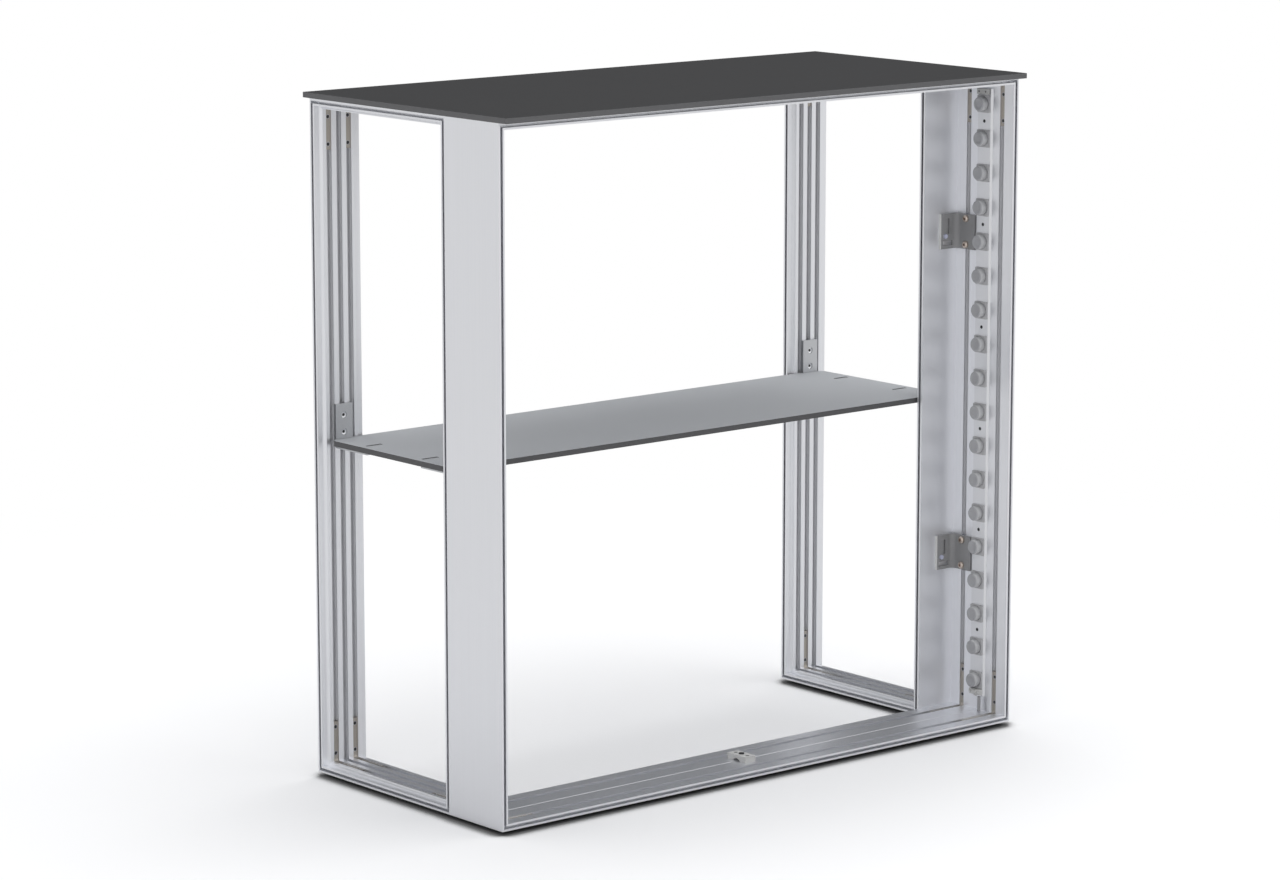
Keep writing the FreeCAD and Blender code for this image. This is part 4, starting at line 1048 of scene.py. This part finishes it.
# Stage
class COUNTER_OT_stage(bpy.types.Operator):
    """Set up the floor, the lamps, the even light and the camera"""

    bl_idname = "counter.stage"
    bl_label = "Stage"

    def execute(self, context):
        values = stage_values()
        context.scene.view_settings.view_transform = "Standard"
        self.floor(values)
        self.world(context, values)
        self.lamps(values)
        behind = values.camera_azimuth
        self.card("grey_card", values.flag_colour, values.flag_size, behind, values.flag_distance, 0)
        self.card("side_card", values.side_colour, values.side_size, behind + values.side_turn,
                  values.side_distance, values.side_rise)
        self.camera(context, values)
        return {"FINISHED"}

    def floor(self, values):
        """A wide plain floor."""
        floor = flat_sheet("studio_floor", values.floor_size, self.floor_material(values))

    def floor_material(self, values):
        """Pale and matt near the counter, with painted contact shade close to it, and white to the camera
        further away.
        """
        material, tree, shader = new_material("studio_floor")
        seen = tree.nodes.new("ShaderNodeLightPath")
        dimmed = math_node(tree, "MULTIPLY", seen.outputs["Is Glossy Ray"], 1 - values.mirrored_floor)
        level = math_node(tree, "SUBTRACT", 1.0, dimmed)
        plain = tree.nodes.new("ShaderNodeRGB")
        plain.outputs[0].default_value = (*values.floor_colour, 1)
        # Painted shade: the floor's colour darkens where little open sky reaches it under and beside the
        # frame
        open_share = tree.nodes.new("ShaderNodeAmbientOcclusion")
        open_share.inputs["Distance"].default_value = values.contact_reach
        shade = tree.nodes.new("ShaderNodeMapRange")
        shade.interpolation_type = "SMOOTHSTEP"
        shade.inputs["From Min"].default_value = CONTACT_DARK
        shade.inputs["From Max"].default_value = CONTACT_OPEN
        shade.inputs["To Min"].default_value = CONTACT_SHADE
        tree.links.new(open_share.outputs["AO"], shade.inputs["Value"])
        near = math_node(tree, "MULTIPLY", level, shade.outputs["Result"])
        tree.links.new(shaded_by(tree, plain.outputs[0], near), shader.inputs["Base Color"])
        shader.inputs["Roughness"].default_value = ROUGHNESS["floor"]
        shader.inputs["Specular IOR Level"].default_value = FLOOR_GLOSS
        white = tree.nodes.new("ShaderNodeEmission")
        tree.links.new(level, white.inputs["Strength"])
        place = tree.nodes.new("ShaderNodeTexCoord")
        reach = tree.nodes.new("ShaderNodeVectorMath")
        reach.operation = "LENGTH"
        tree.links.new(place.outputs["Object"], reach.inputs[0])
        far = tree.nodes.new("ShaderNodeMapRange")
        far.interpolation_type = "SMOOTHSTEP"
        far.inputs["From Min"].default_value = values.white_start
        far.inputs["From Max"].default_value = values.white_full
        tree.links.new(reach.outputs["Value"], far.inputs["Value"])
        blend = tree.nodes.new("ShaderNodeMixShader")
        camera_or_gloss = math_node(tree, "MAXIMUM", seen.outputs["Is Camera Ray"],
                                    seen.outputs["Is Glossy Ray"])
        share_white = math_node(tree, "MULTIPLY", camera_or_gloss, far.outputs["Result"])
        tree.links.new(share_white, blend.inputs["Fac"])
        tree.links.new(shader.outputs[0], blend.inputs[1])
        tree.links.new(white.outputs[0], blend.inputs[2])
        out = tree.nodes["Material Output"]
        tree.links.new(blend.outputs[0], out.inputs["Surface"])
        return material

    def world(self, context, values):
        """White to the camera and in reflections, an even cool light for the rest."""
        world = bpy.data.worlds.new("studio_light")
        context.scene.world = world
        world.use_nodes = True
        tree = world.node_tree
        light = tree.nodes["Background"]
        light.inputs["Color"].default_value = (*values.world_colour, 1)
        place = tree.nodes.new("ShaderNodeTexCoord")
        parts = tree.nodes.new("ShaderNodeSeparateXYZ")
        tree.links.new(place.outputs["Generated"], parts.inputs[0])
        upward = tree.nodes.new("ShaderNodeMapRange")
        upward.interpolation_type = "SMOOTHSTEP"
        upward.inputs["To Min"].default_value = values.horizon_strength
        upward.inputs["To Max"].default_value = values.zenith_strength
        tree.links.new(parts.outputs["Z"], upward.inputs["Value"])
        tree.links.new(upward.outputs["Result"], light.inputs["Strength"])
        white = tree.nodes.new("ShaderNodeBackground")
        white.inputs["Color"].default_value = (1, 1, 1, 1)
        seen = tree.nodes.new("ShaderNodeLightPath")
        gloss = math_node(tree, "MAXIMUM", seen.outputs["Is Glossy Ray"],
                          seen.outputs["Is Transmission Ray"])
        plain = math_node(tree, "MAXIMUM", seen.outputs["Is Camera Ray"], gloss)
        blend = tree.nodes.new("ShaderNodeMixShader")
        tree.links.new(plain, blend.inputs["Fac"])
        tree.links.new(light.outputs[0], blend.inputs[1])
        tree.links.new(white.outputs[0], blend.inputs[2])
        tree.links.new(blend.outputs[0], tree.nodes["World Output"].inputs["Surface"])

    def lamps(self, values):
        """Large lamps that face the counter's middle and leave no glint."""
        middle = (CAD_BOX[0] + CAD_BOX[1]) / 2
        powers = {"key": values.key_power, "fill": values.fill_power, "top": values.top_power}
        for role, spot, width in LAMPS:
            place = Vector(spot)
            lamp = bpy.data.lights.new(f"{role}_lamp", "AREA")
            lamp.shape = "SQUARE"
            lamp.size = width
            lamp.energy = powers[role]
            holder = bpy.data.objects.new(f"{role}_lamp", lamp)
            bpy.context.scene.collection.objects.link(holder)
            holder.matrix_world = turned_to(place - middle, place)
            holder.visible_glossy = False

    def card(self, name, tone, size, azimuth, distance, rise):
        """A tall grey card beyond the counter, seen only in the metal."""
        material, tree, shader = new_material(name)
        shader.inputs["Base Color"].default_value = (0, 0, 0, 1)
        shader.inputs["Specular IOR Level"].default_value = 0
        shader.inputs["Emission Color"].default_value = (*tone, 1)
        shader.inputs["Emission Strength"].default_value = 1
        card = flat_sheet(name, size / 2, material)
        away = Matrix.Rotation(azimuth, 3, "Z") @ Vector((0, distance, 0))
        card.matrix_world = turned_to(-away.normalized(), away + Z_AXIS * (size / 2 + rise))
        card.visible_camera = False
        card.visible_diffuse = False
        card.visible_shadow = False

    def camera(self, context, values):
        """The camera that took the photo's view."""
        camera = bpy.data.cameras.new("photo_camera")
        camera.sensor_fit = "HORIZONTAL"
        camera.sensor_width = SENSOR_WIDTH
        camera.lens = values.camera_focal
        camera.clip_end = CLIP_END
        holder = bpy.data.objects.new("photo_camera", camera)
        context.scene.collection.objects.link(holder)
        holder.location = values.camera_place
        quarter = math.pi / 2
        holder.rotation_euler = (quarter - values.camera_elevation, 0, values.camera_azimuth)
        context.scene.camera = holder


class COUNTER_PT_panel(bpy.types.Panel):
    """The counter's steps, in order"""

    bl_idname = "COUNTER_PT_panel"
    bl_label = "Illuminated counter"
    bl_space_type = "VIEW_3D"
    bl_region_type = "UI"
    bl_category = "Counter"

    def draw(self, context):
        """A button for each step."""
        for operator in STEPS:
            self.layout.operator(operator.bl_idname)


STEPS = (
    COUNTER_OT_extrusions,
    COUNTER_OT_corner_bars,
    COUNTER_OT_boards,
    COUNTER_OT_brackets,
    COUNTER_OT_shelf_supports,
    COUNTER_OT_led_strips,
    COUNTER_OT_bridge_clip,
    COUNTER_OT_glides,
    COUNTER_OT_stage,
)
GROUPS = (CounterFinishes, CounterDetail, CounterStage)


def register():
    """Make the classes and the scene's values known."""
    for part in (*GROUPS, *STEPS, COUNTER_PT_panel):
        bpy.utils.register_class(part)
    bpy.types.Scene.counter_finishes = PointerProperty(type=CounterFinishes)
    bpy.types.Scene.counter_detail = PointerProperty(type=CounterDetail)
    bpy.types.Scene.counter_stage = PointerProperty(type=CounterStage)


def unregister():
    """Take them away again."""
    del bpy.types.Scene.counter_finishes
    del bpy.types.Scene.counter_detail
    del bpy.types.Scene.counter_stage
    for part in reversed((*GROUPS, *STEPS, COUNTER_PT_panel)):
        bpy.utils.unregister_class(part)


def main():
    """Dress the counter, step by step."""
    register()
    for operator in STEPS:
        group, name = operator.bl_idname.split(".")
        getattr(getattr(bpy.ops, group), name)()


if __name__ == "__main__":
    main()
